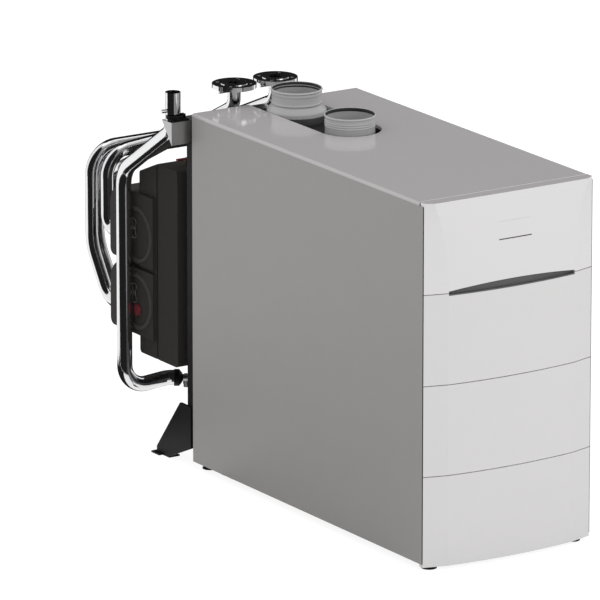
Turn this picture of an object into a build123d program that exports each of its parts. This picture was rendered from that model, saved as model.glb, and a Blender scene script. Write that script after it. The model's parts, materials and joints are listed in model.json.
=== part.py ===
from build123d import *

import os

os.makedirs("parts", exist_ok=True)

# Floor-standing condensing boiler with a pipe and exchanger set behind it.
# +Z is up, the control side faces -Y, and the floor is at z = 0.

# Casing
casing_width = 720
casing_depth = 1520
casing_height = 1322
floor_gap = 26
sheet = 2
panel_gap = 3
overrun = 5

# Front panels, bowed in plan, with a flatter strip along each side
panel_wall = 3
strip_width = 92
strip_bow = 26
centre_bow = 45
cover_strip_top = 31
cover_bow_top = 24
cover_strip_bow_top = 22
panel_return = 18
panel_count = 4
panel_drop = 11

# Lid
lid_depth = 12
lid_radius = 8
lid_hem = 10
lid_front = 24

# Notch in the lid and the two duct collars
notch_radius = 115
collar_od = 187
collar_wall = 4
flue_back = 145
flue_rise = 80
air_back = 502
air_rise = 58
flue_cone_radius = 110
flue_cone_drop = 10
flue_cone_rise = 17
collar_plate_drop = 43
collar_plate_wall = 3

# Pipes of the rear set
tube_od = 48
tube_wall = 2
line_od = 57
line_wall = 3

# Insertion mark cut round each plain pipe end, at its seat depth
mark_depth = 0.6
mark_width = 2
stub_seat = 30
gas_seat = 35
drain_seat = 40

# Expansion line, outside the left side panel
line_stub_out = 38
line_loop_out = 50
line_back = 396
line_rise = 72
line_top_corner = 71
line_shoulder = 291
line_floor = 190
line_run_floor = 205
line_inner_turn = 134
line_end_in = 168
line_end_back = 374

# Flanges on top of the flow and return tubes, nominal bore 50
riser_back = 70
flow_in = 227
return_in = 406
flange_od = 165
flange_wall = 18
bolt_circle = 125
bolt_hole = 18
bolt_count = 4
raised_face = 102
raised_height = 2

# Corner places of the tubes: in from the left side, back from the rear, up
flow_drop_in = 93
flow_drop_back = 704
flow_shoulder = 936
return_drop_in = 88
return_back = 808
return_shoulder = 981
supply_in = 34
supply_back = 762
supply_shoulder = 1023
feed_back = 650
feed_shoulder = 1028
feed_end_up = 1062
supply_from_right = 160
return_from_right = 80
gas_from_right = 65
supply_end_in = casing_width - supply_from_right
return_end_in = casing_width - return_from_right
gas_in = casing_width - gas_from_right
tube_end = 450
lean_top = 653
lean_bottom = 467
lean_forward = 122
feed_elbow_up = 743
flow_elbow_up = 800
riser_corner_drop = 16

# Insulated plate exchanger block
block_width = 500
block_near = 103
block_far = 367
block_low = 332
block_shoulder = 1026
block_top = 1080
block_slope_back = 240
block_wall = 40
block_round = 14

# Pump pods on the back of the block
pod_out = 14
pod_in = 200
pod_near = 253
pod_far = 552
pod_round = 26
pod_tail_round = 80
upper_pod_low = 672
upper_pod_high = 945
lower_pod_low = 402
lower_pod_high = 655
pod_wall = 22
fit = 0.3

# Rear frame and feet
post_in = 6
post_width = 40
post_near = 10
post_depth = 36
post_wall = 3
post_low = 72
foot_plate = 6

# Frame of reference: the origin is at the middle of the whole box, on the floor
pocket_reach = 50
left_reach = max(line_stub_out + pocket_reach, line_loop_out + line_od / 2)
front_reach = panel_gap + centre_bow
rear_reach = return_back + tube_od / 2
casing_x = left_reach / 2
casing_y = (front_reach - rear_reach) / 2
left = casing_x - casing_width / 2
right = left + casing_width
front = casing_y - casing_depth / 2
rear = front + casing_depth
bottom = floor_gap
top = bottom + casing_height

corner = (Align.MIN, Align.MIN, Align.MIN)


def span(x, y, z, mode=Mode.ADD):
    """A box from one corner to the other, in the part that is being built."""
    with Locations((x[0], y[0], z[0])):
        Box(x[1] - x[0], y[1] - y[0], z[1] - z[0], align=corner, mode=mode)


def rod(origin, direction, radius, length, mode=Mode.ADD):
    """A round bar from origin along direction, in the part that is being built."""
    with BuildSketch(Plane(origin=origin, z_dir=direction)) as section:
        Circle(radius)
    extrude(section.sketch, amount=length, mode=mode)


def ring_groove(seat, direction, outer):
    """A shallow ring cut round a bar at the seat depth of a plain end, along direction."""
    with BuildSketch(Plane(origin=seat, z_dir=direction)) as section:
        Circle(outer / 2 + overrun)
        Circle(outer / 2 - mark_depth, mode=Mode.SUBTRACT)
    extrude(section.sketch, amount=mark_width, mode=Mode.SUBTRACT)


def nut(origin, direction, across, length, bore):
    """A hexagon nut or collar with its bore."""
    with BuildSketch(Plane(origin=origin, z_dir=direction)) as section:
        RegularPolygon(radius=across / 2, side_count=6, major_radius=False)
        Circle(bore / 2, mode=Mode.SUBTRACT)
    extrude(section.sketch, amount=length)


def at_rear(inward, back, up):
    """A point measured from the left side, the rear face and the casing's underside."""
    return Vector(left + inward, rear + back, bottom + up)


def tube(points, radii, outer, wall):
    """A bent tube along straight runs joined by tangent arcs."""
    with BuildPart() as bent:
        with BuildLine():
            route = FilletPolyline(*points, radius=radii)
        with BuildSketch(Plane(origin=route @ 0, z_dir=route % 0)):
            Circle(outer / 2)
            Circle(outer / 2 - wall, mode=Mode.SUBTRACT)
        sweep()
    return bent


# Base frame: two long rails joined by cross members, with the foot bosses
rail_in = 22
rail_width = 60
rail_height = 40
rail_wall = 4
rail_front = 4
rail_rear = 4
cross_width = 40
cross_places = (0, 470, 950)
skid_drop = 13
skid_width = 34
skid_places = (158, 212)
skid_length = 26
foot_in = 52
front_foot_back = 30
rear_foot_back = 34
stud_od = 12
stud_fit = 0.3
beam_width = 40
beam_wall = 20
beam_set = 140
beam_from_rear = 180
hx_low = 330
hx_depth = 720
hx_from_rear = 280
sump_front = 20
sump_height = 150
sump_near = rear - hx_from_rear - hx_depth - sump_front
sump_low = bottom + hx_low - sump_height
rail_near = front + rail_front
rail_far = rear - sheet - rail_rear
rail_lefts = (left + rail_in, right - rail_in - rail_width)
foot_spots = [
    (x, y)
    for x in (left + foot_in, right - foot_in)
    for y in (front + front_foot_back, rear - rear_foot_back)
]
with BuildPart() as base_frame:
    for x in rail_lefts:
        span((x, x + rail_width), (rail_near, rail_far), (bottom, bottom + rail_height))
        span(
            (x + rail_wall, x + rail_width - rail_wall),
            (rail_near + cross_width, rail_far - cross_width),
            (bottom + rail_wall, bottom + rail_height - rail_wall),
            mode=Mode.SUBTRACT,
        )
    cross_span = (rail_lefts[0] + rail_width, rail_lefts[1])
    for place in [rail_near + p for p in cross_places] + [rail_far - cross_width]:
        span(cross_span, (place, place + cross_width), (bottom, bottom + rail_height - rail_wall))
    for x in (rail_lefts[0], rail_lefts[1] + rail_width - skid_width):
        for back in skid_places:
            skid_y = (rear - back - skid_length, rear - back)
            span((x, x + skid_width), skid_y, (bottom - skid_drop, bottom))
    for y in (sump_near + beam_set, rear - beam_from_rear):
        span(
            (rail_lefts[0], rail_lefts[1] + rail_width),
            (y, y + beam_width),
            (sump_low - beam_wall, sump_low),
        )
        for x in (rail_lefts[0], rail_lefts[1] + rail_width - beam_width):
            span((x, x + beam_width), (y, y + beam_width), (bottom + rail_height, sump_low))
    for x, y in foot_spots:
        rod((x, y, bottom), (0, 0, 1), stud_od / 2 + stud_fit, rail_height, mode=Mode.SUBTRACT)
base_frame.part.label = "base_frame"
export_step(base_frame.part, "parts/base_frame.step")

# Levelling feet: disc, stud and lock nut in one group
foot_disc_od = 56
foot_disc = 8
foot_nut = 10
foot_nut_across = 24
foot_crown = 4
with BuildPart() as levelling_feet:
    for x, y in foot_spots:
        with BuildSketch(Plane.XZ.offset(-y)):
            with BuildLine():
                Polyline(
                    (x, 0),
                    (x + foot_disc_od / 2, 0),
                    (x + foot_disc_od / 2, foot_disc / 2),
                    (x + stud_od, foot_disc + foot_crown),
                    (x + stud_od / 2, foot_disc + foot_crown),
                    (x + stud_od / 2, bottom + rail_height),
                    (x, bottom + rail_height),
                    close=True,
                )
            make_face()
        revolve(axis=Axis((x, y, 0), (0, 0, 1)))
        nut((x, y, bottom - foot_nut), (0, 0, 1), foot_nut_across, foot_nut, stud_od)
levelling_feet.part.label = "levelling_feet"
export_step(levelling_feet.part, "parts/levelling_feet.step")

# Side panels: sheet with a bottom and a rear return
side_return = 20
side_top = top - lid_depth - fit
for name, outer_x, inward in (("left_side_panel", left, 1), ("right_side_panel", right, -1)):
    with BuildPart() as side_panel:
        wall_x = sorted((outer_x, outer_x + inward * sheet))
        fold_x = sorted((outer_x, outer_x + inward * side_return))
        span(wall_x, (front, rear), (bottom, side_top))
        span(fold_x, (front + lid_front + panel_gap, rear), (side_top - sheet, side_top))
        span(fold_x, (rear - sheet, rear), (bottom + rail_height, side_top))
    side_panel.part.label = name
    export_step(side_panel.part, f"parts/{name}.step")

# Lid with rounded edges and the notch, open to the rear, round both collars
centre_x = (left + right) / 2
flue_y = rear - flue_back
air_y = rear - air_back
with BuildPart() as top_panel:
    span((left, right), (front + lid_front, rear), (top - lid_depth, top))
    fillet(top_panel.edges().group_by(Axis.Z)[-1].filter_by(Axis.Y), radius=lid_radius)
    span(
        (left + lid_hem, right - lid_hem),
        (front + lid_front + lid_hem, rear - lid_hem),
        (top - lid_depth, top - sheet),
        mode=Mode.SUBTRACT,
    )
    with BuildSketch(Plane.XY.offset(top - lid_depth)):
        with Locations((centre_x, air_y)):
            Circle(notch_radius + sheet)
        with Locations((centre_x, (air_y + rear) / 2)):
            Rectangle(2 * (notch_radius + sheet), rear - air_y)
    extrude(amount=lid_depth)
    with BuildSketch(Plane.XY.offset(top - lid_depth)):
        with Locations((centre_x, air_y)):
            Circle(notch_radius)
        with Locations((centre_x, (air_y + rear + overrun) / 2)):
            Rectangle(2 * notch_radius, rear + overrun - air_y)
    extrude(amount=lid_depth, mode=Mode.SUBTRACT)
top_panel.part.label = "top_panel"
export_step(top_panel.part, "parts/top_panel.step")


def front_outline(strip, side_bow, middle_bow, inset):
    """Half-open plan of a front panel; inset moves every face inwards by one wall."""
    near = front - panel_gap + inset
    x0 = left + panel_gap + inset
    x1 = right - panel_gap - inset
    back = front + panel_return + (overrun if inset else 0)
    with BuildLine() as outline:
        Line((x0, back), (x0, near))
        Line((x0, near), (left + strip, near - side_bow))
        ThreePointArc(
            (left + strip, near - side_bow), (centre_x, near - middle_bow), (right - strip, near - side_bow)
        )
        Line((right - strip, near - side_bow), (x1, near))
        Line((x1, near), (x1, back))
        Line((x1, back), (x0, back))
    make_face(outline.edges())


# Seam heights: four rows of one pitch, the lowest hanging below the side panels
row_pitch = (casing_height + panel_drop) / panel_count
row_seams = [top - row_pitch * (row + 1) for row in range(panel_count)]
stud_radius = 4
boss_radius = 8
boss_inset_x = 50
boss_inset_z = 60
frame_near = front + panel_return + overrun + panel_gap
frame_wall = 2
bore_fit = 0.3
facet_slope = strip_bow / (strip_width - panel_gap)
boss_start = front - panel_gap - facet_slope * (boss_inset_x - panel_gap - boss_radius)
row_names = ("upper_front_panel", "middle_front_panel", "lower_front_panel")
recess_drop = 7
row_studs = []
for row, name in enumerate(row_names):
    z_high = row_seams[row] - panel_gap / 2
    z_low = row_seams[row + 1] + (panel_gap / 2 if row < len(row_names) - 1 else 0)
    stud_spots = [
        (x, z)
        for x in (left + boss_inset_x, right - boss_inset_x)
        for z in (z_low + boss_inset_z, z_high - boss_inset_z)
    ]
    row_studs += stud_spots
    with BuildPart() as front_panel:
        with BuildSketch(Plane.XY.offset(z_low)):
            front_outline(strip_width, strip_bow, centre_bow, 0)
        extrude(amount=z_high - z_low)
        with BuildSketch(Plane.XY.offset(z_low + panel_wall)):
            front_outline(strip_width, strip_bow, centre_bow, panel_wall)
        extrude(amount=z_high - z_low - 2 * panel_wall, mode=Mode.SUBTRACT)
        if row == 0:
            span(
                (left + strip_width, right - strip_width),
                (front - front_reach - overrun, front + panel_return + overrun),
                (z_high - recess_drop, z_high + overrun),
                mode=Mode.SUBTRACT,
            )
        for x, z in stud_spots:
            rod((x, boss_start, z), (0, 1, 0), boss_radius, front + panel_return - boss_start)
            bore_length = panel_return + overrun
            rod((x, front, z), (0, 1, 0), stud_radius + bore_fit, bore_length, mode=Mode.SUBTRACT)
    front_panel.part.label = name
    export_step(front_panel.part, f"parts/{name}.step")

# Control cover: its face leans out from a straight top edge to the full bow below
cover_top = top
cover_low = row_seams[0] + panel_gap / 2
cover_height = cover_top - cover_low
cover_curve_share = 2.2
section_shares = (0, 0.2, 0.45, 0.72, 1)
arch_end_rise = 6
arch_middle_rise = 23
roll_radius = 4
roll_gap = 1
pin_radius = 2
pin_fit = 0.08
pin_length = 12
ear_wall = 4
ear_gap = 0.5
hinge_y = front + lid_front - roll_gap - roll_radius
hinge_z = cover_top - roll_radius
ear_x = left + panel_gap + panel_wall + ear_gap
roll_x = ear_x + ear_wall + ear_gap
slot_width = 138
slot_height = 3
slot_depth = 1.2
slot_share = 0.3


def swell(share):
    """How far the cover has grown to its full bow, at a share of its height from the top."""
    return 1 - (1 - share) ** cover_curve_share


def cover_section(share, inset):
    """One level of the control cover's plan."""
    grown = swell(share)
    front_outline(
        cover_strip_top + (strip_width - cover_strip_top) * grown,
        cover_strip_bow_top + (strip_bow - cover_strip_bow_top) * grown,
        cover_bow_top + (centre_bow - cover_bow_top) * grown,
        inset,
    )


with BuildPart() as cover_core:
    for share in section_shares:
        low = cover_top - panel_wall - (cover_height - 2 * panel_wall) * share
        with BuildSketch(Plane.XY.offset(low)):
            cover_section(share, panel_wall)
    loft()
with BuildPart() as control_cover:
    for share in section_shares:
        with BuildSketch(Plane.XY.offset(cover_top - cover_height * share)):
            cover_section(share, 0)
    loft()
    add(cover_core.part, mode=Mode.SUBTRACT)
    with BuildSketch(Plane.XZ.offset(-front)):
        with BuildLine():
            arch = ThreePointArc(
                (left + strip_width, cover_low + arch_end_rise),
                (centre_x, cover_low + arch_middle_rise),
                (right - strip_width, cover_low + arch_end_rise),
            )
            Polyline(
                arch @ 1,
                (right - strip_width, cover_low - overrun),
                (left + strip_width, cover_low - overrun),
                arch @ 0,
            )
        make_face()
    extrude(amount=front_reach + overrun, mode=Mode.SUBTRACT)
    slot_z = cover_top - cover_height * slot_share
    slot_face = front - panel_gap - cover_bow_top - (centre_bow - cover_bow_top) * swell(slot_share)
    with Locations((centre_x, slot_face, slot_z)):
        Box(slot_width, 2 * slot_depth, slot_height, mode=Mode.SUBTRACT)
    for x, inner in ((roll_x, 1), (left + right - roll_x, -1)):
        notch_x = sorted((x, x - inner * (ear_wall + 2 * ear_gap)))
        notch_y = (hinge_y - roll_radius - ear_gap, hinge_y + roll_radius)
        span(notch_x, notch_y, (cover_top - lid_depth, cover_top), mode=Mode.SUBTRACT)
    rod((roll_x, hinge_y, hinge_z), (1, 0, 0), roll_radius, left + right - 2 * roll_x)
    for x, inner in ((roll_x, 1), (left + right - roll_x, -1)):
        bore_length = pin_length + 2 * ear_gap
        rod((x, hinge_y, hinge_z), (inner, 0, 0), pin_radius + pin_fit, bore_length, mode=Mode.SUBTRACT)
control_cover.part.label = "control_cover"
export_step(control_cover.part, "parts/control_cover.step")

# Finger recess: a dark curved wall and floor behind the cover's arch, on two tabs
recess_set = 16
recess_wall = 3
recess_margin = 8
recess_gap = 1
tab_width = 20
tab_in = 20
panel_high = row_seams[0] - panel_gap / 2
recess_low = panel_high - recess_drop + recess_gap
recess_high = cover_low + arch_middle_rise + recess_margin


def recess_arc(set_back):
    """Points of an arc parallel to the bowed face, set back from it."""
    near = front - panel_gap + set_back
    return (
        (left + strip_width + recess_gap, near - strip_bow),
        (centre_x, near - centre_bow),
        (right - strip_width - recess_gap, near - strip_bow),
    )


with BuildPart() as handle_recess:
    for high, near in ((recess_high, recess_set), (recess_low + recess_wall, recess_gap)):
        with BuildSketch(Plane.XY.offset(recess_low)):
            with BuildLine():
                outer_arc = ThreePointArc(*recess_arc(near))
                inner_arc = ThreePointArc(*recess_arc(recess_set + recess_wall))
                Line(outer_arc @ 0, inner_arc @ 0)
                Line(outer_arc @ 1, inner_arc @ 1)
            make_face()
        extrude(amount=high - recess_low)
    for x in (left + strip_width + tab_in, right - strip_width - tab_in - tab_width):
        span(
            (x, x + tab_width),
            (front - strip_bow + recess_set - 2 * recess_wall, frame_near),
            (recess_low, panel_high - recess_gap),
        )
handle_recess.part.label = "handle_recess"
export_step(handle_recess.part, "parts/handle_recess.step")

# Front frame: bulkhead behind the panels, with the panel studs and the cover's pins
frame_border = 70
frame_top = top - lid_depth - panel_gap
frame_low = bottom + rail_height
box_width = 560
box_margin = 34
box_high = cover_top - box_margin - lid_depth
box_low = cover_low + box_margin
ear_drop = 30
ear_bar = 12
with BuildPart() as front_frame:
    span(
        (left + sheet + fit, right - sheet - fit),
        (frame_near, frame_near + frame_wall),
        (frame_low, frame_top),
    )
    span(
        (centre_x - box_width / 2 - fit, centre_x + box_width / 2 + fit),
        (frame_near - overrun, frame_near + frame_wall + overrun),
        (box_low - fit, box_high + fit),
        mode=Mode.SUBTRACT,
    )
    span(
        (left + frame_border, right - frame_border),
        (frame_near - overrun, frame_near + frame_wall + overrun),
        (frame_low + frame_border, cover_low - frame_border),
        mode=Mode.SUBTRACT,
    )
    for x, z in row_studs:
        rod((x, front, z), (0, 1, 0), stud_radius, frame_near - front)
    for x, inner in ((ear_x, 1), (left + right - ear_x, -1)):
        ear = sorted((x, x + inner * ear_wall))
        rod((x, hinge_y, hinge_z), (inner, 0, 0), roll_radius - ear_gap, ear_wall)
        ear_reach = roll_radius - ear_gap
        span(ear, (hinge_y - ear_reach, hinge_y + ear_reach), (hinge_z - ear_drop, hinge_z))
        span(ear, (hinge_y, frame_near), (hinge_z - ear_drop, hinge_z - ear_drop + ear_bar))
        rod((x + inner * ear_wall, hinge_y, hinge_z), (inner, 0, 0), pin_radius, pin_length)
front_frame.part.label = "front_frame"
export_step(front_frame.part, "parts/front_frame.step")

# Control box: plastic housing in the frame, with its face behind the cover
face_set = 2
screen_shift = 90
knob_shift = 70
button_shift = 150
switch_shift = 225
box_face = front + face_set
box_back = 190
box_wall = 3
flange_thick = 4
screen_width = 150
screen_height = 84
screen_depth = 5
screen_x = centre_x - screen_shift
control_z = (box_high + box_low) / 2
knob_x = centre_x + knob_shift
knob_radius = 22
knob_depth = 18
knob_bore = 5
button_x = centre_x + button_shift
button_radius = 9
button_depth = 6
button_travel = 1.5
switch_x = centre_x + switch_shift
switch_width = 22
switch_height = 32
switch_depth = 8
control_fit = 0.4
rocker_pin = 1.5
rocker_y = box_face + switch_depth / 2
with BuildPart() as control_box:
    box_x = (centre_x - box_width / 2, centre_x + box_width / 2)
    span(box_x, (box_face, front + box_back), (box_low, box_high))
    fillet(control_box.edges().filter_by(Axis.Y), radius=lid_radius)
    span(
        (box_x[0] + box_wall, box_x[1] - box_wall),
        (box_face + box_wall + flange_thick, front + box_back + overrun),
        (box_low + box_wall, box_high - box_wall),
        mode=Mode.SUBTRACT,
    )
    with Locations((screen_x, box_face, control_z)):
        Box(screen_width, 2 * screen_depth, screen_height, mode=Mode.SUBTRACT)
    rod(
        (knob_x, box_face - overrun, control_z),
        (0, 1, 0),
        knob_bore + fit,
        overrun + 3 * screen_depth,
        mode=Mode.SUBTRACT,
    )
    rod(
        (button_x, box_face - overrun, control_z),
        (0, 1, 0),
        button_radius + control_fit,
        4 * screen_depth,
        mode=Mode.SUBTRACT,
    )
    with Locations((switch_x, box_face, control_z)):
        Box(
            switch_width + 2 * control_fit,
            4 * switch_depth,
            switch_height + 2 * control_fit,
            mode=Mode.SUBTRACT,
        )
    rod(
        (switch_x - switch_width / 2 - control_fit, rocker_y, control_z),
        (1, 0, 0),
        rocker_pin,
        switch_width + 2 * control_fit,
    )
control_box.part.label = "control_box"
export_step(control_box.part, "parts/control_box.step")

# Display glass, let into the face
with BuildPart() as control_display:
    span(
        (screen_x - screen_width / 2 + fit, screen_x + screen_width / 2 - fit),
        (box_face, box_face + screen_depth - fit),
        (control_z - screen_height / 2 + fit, control_z + screen_height / 2 - fit),
    )
    chamfer(control_display.faces().sort_by(Axis.Y)[0].edges(), length=fit * 3)
control_display.part.label = "control_display"
export_step(control_display.part, "parts/control_display.step")

# Circuit board behind the face, carrying the spindle and button posts
board_wall = 2
board_set = 30
board_y = box_face + board_set
board_margin = 24
post_radius = 4
with BuildPart() as control_board:
    span(
        (box_x[0] + box_wall + fit, box_x[1] - box_wall - fit),
        (board_y, board_y + board_wall),
        (box_low + board_margin, box_high - board_margin),
    )
    post_start = box_face + box_wall + flange_thick + fit
    for x in (box_x[0] + board_margin, box_x[1] - board_margin):
        rod((x, post_start, control_z), (0, 1, 0), post_radius, board_y - post_start)
    rod((knob_x, board_y - overrun, control_z), (0, 1, 0), knob_radius / 2, overrun)
    spindle_start = box_face - knob_depth / 2
    rod((knob_x, spindle_start, control_z), (0, 1, 0), knob_bore / 2, board_y - spindle_start)
    rod(
        (button_x, box_face + 3 * button_depth, control_z),
        (0, 1, 0),
        post_radius,
        board_y - box_face - 3 * button_depth,
    )
    span(
        (switch_x - post_radius, switch_x + post_radius),
        (box_face + switch_depth + 2 * post_radius, board_y),
        (control_z - post_radius, control_z + post_radius),
    )
control_board.part.label = "control_board"
export_step(control_board.part, "parts/control_board.step")

# Selector knob on its spindle, with a grip bar
grip_width = 7
knob_lift = 0.5
with BuildPart() as selector_knob:
    rod((knob_x, box_face - knob_lift, control_z), (0, -1, 0), knob_radius, knob_depth / 2)
    rod((knob_x, box_face - knob_lift, control_z), (0, 1, 0), knob_bore, 2 * screen_depth)
    span(
        (knob_x - grip_width / 2, knob_x + grip_width / 2),
        (box_face - knob_lift - knob_depth, box_face - knob_lift),
        (control_z - knob_radius, control_z + knob_radius),
    )
    rod(
        (knob_x, spindle_start, control_z),
        (0, 1, 0),
        knob_bore / 2 + pin_fit,
        2 * knob_depth,
        mode=Mode.SUBTRACT,
    )
selector_knob.part.label = "selector_knob"
export_step(selector_knob.part, "parts/selector_knob.step")

# Menu button in its bore
with BuildPart() as menu_button:
    rod(
        (button_x, box_face - button_depth / 2, control_z),
        (0, 1, 0),
        button_radius,
        button_depth / 2 + 3 * button_depth - button_travel - fit,
    )
    fillet(menu_button.faces().sort_by(Axis.Y)[0].edges(), radius=button_travel)
menu_button.part.label = "menu_button"
export_step(menu_button.part, "parts/menu_button.step")

# Rocker power switch on a cross pin
rocker_swell = 2
with BuildPart() as power_switch:
    with BuildSketch(Plane.YZ.offset(switch_x - switch_width / 2)):
        with BuildLine():
            Polyline(
                (box_face + rocker_swell, control_z + switch_height / 2 - rocker_swell),
                (box_face - rocker_swell, control_z),
                (box_face + rocker_swell, control_z - switch_height / 2 + rocker_swell),
                (rocker_y, control_z - switch_height / 4),
                (rocker_y + 2 * rocker_pin, control_z),
                (rocker_y, control_z + switch_height / 4),
                close=True,
            )
        make_face()
    extrude(amount=switch_width)
    rod(
        (switch_x - switch_width / 2, rocker_y, control_z),
        (1, 0, 0),
        rocker_pin + pin_fit / 2,
        switch_width,
        mode=Mode.SUBTRACT,
    )
power_switch.part.label = "power_switch"
export_step(power_switch.part, "parts/power_switch.step")

# Heat exchanger: cast block with a combustion chamber over vertical flue slots
hx_width = 400
hx_height = 730
hx_wall = 14
chamber_height = 290
slot_count = 9
hx_slot = 22
hx_rib = 8
hx_rib_count = 7
burner_drop = 155
burner_radius = 55
burner_length = 560
burner_wall = 3
hx_x = (centre_x - hx_width / 2, centre_x + hx_width / 2)
hx_y = (rear - hx_from_rear - hx_depth, rear - hx_from_rear)
hx_z = (bottom + hx_low, bottom + hx_low + hx_height)
burner_x = (hx_x[0] + hx_x[1]) / 2
burner_z = hx_z[1] - burner_drop
with BuildPart() as heat_exchanger:
    span(hx_x, hx_y, hx_z)
    for x, inward in ((hx_x[0], -1), (hx_x[1], 1)):
        for rib in range(hx_rib_count):
            rib_y = hx_y[0] + (rib + 1) * hx_depth / (hx_rib_count + 1)
            span(
                sorted((x, x + inward * hx_wall)),
                (rib_y, rib_y + hx_rib),
                (hx_z[0] + hx_wall, hx_z[1] - hx_wall),
            )
    span(
        (hx_x[0] + hx_wall, hx_x[1] - hx_wall),
        (hx_y[0] + hx_wall, hx_y[1] - hx_wall),
        (hx_z[1] - hx_wall - chamber_height, hx_z[1] - hx_wall),
        mode=Mode.SUBTRACT,
    )
    with BuildSketch(Plane.XY.offset(hx_z[0])):
        with Locations((burner_x, (hx_y[0] + hx_y[1]) / 2)):
            with GridLocations((hx_width - 2 * hx_wall) / slot_count, 0, slot_count, 1):
                Rectangle(hx_slot, hx_depth - 4 * hx_wall)
    extrude(amount=hx_height - chamber_height, mode=Mode.SUBTRACT)
    rod((burner_x, hx_y[0], burner_z), (0, 1, 0), burner_radius + hx_wall / 2, hx_wall, mode=Mode.SUBTRACT)
heat_exchanger.part.label = "heat_exchanger"
export_step(heat_exchanger.part, "parts/heat_exchanger.step")

# Burner door: plate over the chamber's opening, bolted to the block
door_wall = 12
door_width = 300
door_height = 240
bolt_radius = 5
bolt_head = 8
door_bolt_in = 18
door_y = hx_y[0] - door_wall
with BuildPart() as burner_door:
    with BuildSketch(Plane(origin=(burner_x, door_y, burner_z), x_dir=(1, 0, 0), z_dir=(0, -1, 0))):
        RectangleRounded(door_width, door_height, door_bolt_in)
        Circle(burner_radius - burner_wall - bolt_radius, mode=Mode.SUBTRACT)
    extrude(amount=-door_wall)
    door_bolts_at = [
        (burner_x + sx * (door_width / 2 - door_bolt_in), burner_z + sz * (door_height / 2 - door_bolt_in))
        for sx in (-1, 0, 1)
        for sz in (-1, 1)
    ]
    for x, z in door_bolts_at:
        rod((x, door_y, z), (0, 1, 0), bolt_radius, door_wall, mode=Mode.SUBTRACT)
burner_door.part.label = "burner_door"
export_step(burner_door.part, "parts/burner_door.step")

with BuildPart() as door_bolts:
    for x, z in door_bolts_at:
        nut((x, door_y, z), (0, -1, 0), 2 * bolt_head, bolt_head, 2 * fit)
        rod((x, door_y, z), (0, 1, 0), bolt_radius - fit / 3, door_wall)
door_bolts.part.label = "door_bolts"
export_step(door_bolts.part, "parts/door_bolts.step")

# Burner: perforated cylinder reaching from the door into the chamber
port_radius = 6
port_columns = 5
with BuildPart() as burner:
    rod((burner_x, hx_y[0], burner_z), (0, 1, 0), burner_radius, burner_length)
    rod(
        (burner_x, hx_y[0] - overrun, burner_z),
        (0, 1, 0),
        burner_radius - burner_wall,
        burner_length + overrun - burner_wall,
        mode=Mode.SUBTRACT,
    )
    for column in range(port_columns):
        port_y = hx_y[0] + burner_length * (column + 1) / (port_columns + 1)
        with BuildSketch(Plane(origin=(burner_x, port_y, burner_z), z_dir=(0, 0, -1))):
            Circle(port_radius)
        extrude(amount=burner_radius + overrun, mode=Mode.SUBTRACT)
burner.part.label = "burner"
export_step(burner.part, "parts/burner.step")

# Fan: volute, runner and motor in front of the burner door
fan_radius = 118
fan_depth = 90
fan_wall = 4
fan_gap = 110
fan_inlet = 50
motor_radius = 55
motor_length = 70
motor_fit = 0.05
runner_radius = 98
runner_hub = 16
shaft_radius = 6
blade_count = 12
blade_wall = 3
runner_clear = 8
duct_half = 44
fan_back = door_y - fan_gap
fan_front = fan_back - fan_depth
fan_x = burner_x - fan_radius + duct_half
fan_z = burner_z
with BuildPart() as fan_housing:
    rod((fan_x, fan_front, fan_z), (0, 1, 0), fan_radius, fan_depth)
    span(
        (fan_x, burner_x + duct_half),
        (fan_front, fan_back),
        (fan_z - duct_half, fan_z + fan_radius),
    )
    span(
        (burner_x - duct_half, burner_x + duct_half),
        (fan_back - fan_wall, door_y),
        (fan_z - duct_half, fan_z + duct_half),
    )
    rod((fan_x, fan_back, fan_z), (0, 1, 0), motor_radius, motor_length)
    rod(
        (fan_x, fan_front + fan_wall, fan_z),
        (0, 1, 0),
        fan_radius - fan_wall,
        fan_depth - 2 * fan_wall,
        mode=Mode.SUBTRACT,
    )
    span(
        (burner_x - duct_half + fan_wall, burner_x + duct_half - fan_wall),
        (fan_back - 2 * fan_wall, door_y + overrun),
        (fan_z - duct_half + fan_wall, fan_z + duct_half - fan_wall),
        mode=Mode.SUBTRACT,
    )
    rod((fan_x, fan_front - overrun, fan_z), (0, 1, 0), fan_inlet, 2 * overrun, mode=Mode.SUBTRACT)
    rod(
        (fan_x, fan_back - 2 * fan_wall, fan_z),
        (0, 1, 0),
        shaft_radius + motor_fit,
        motor_length / 2 + 2 * fan_wall,
        mode=Mode.SUBTRACT,
    )
fan_housing.part.label = "fan_housing"
export_step(fan_housing.part, "parts/fan_housing.step")

with BuildPart() as fan_runner:
    runner_near = fan_front + fan_wall + runner_clear
    runner_far = fan_back - fan_wall - runner_clear
    rod((fan_x, runner_far - blade_wall, fan_z), (0, 1, 0), runner_radius, blade_wall)
    rod((fan_x, runner_near, fan_z), (0, 1, 0), runner_hub, runner_far - runner_near)
    shaft_length = fan_back + motor_length / 2 - runner_near - fit
    rod((fan_x, runner_near, fan_z), (0, 1, 0), shaft_radius, shaft_length)
    with BuildSketch(Plane(origin=(fan_x, runner_near, fan_z), x_dir=(1, 0, 0), z_dir=(0, 1, 0))):
        with PolarLocations(runner_radius * 2 / 3, blade_count):
            Rectangle(runner_radius * 2 / 3, blade_wall)
    extrude(amount=runner_far - runner_near)
fan_runner.part.label = "fan_runner"
export_step(fan_runner.part, "parts/fan_runner.step")

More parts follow.
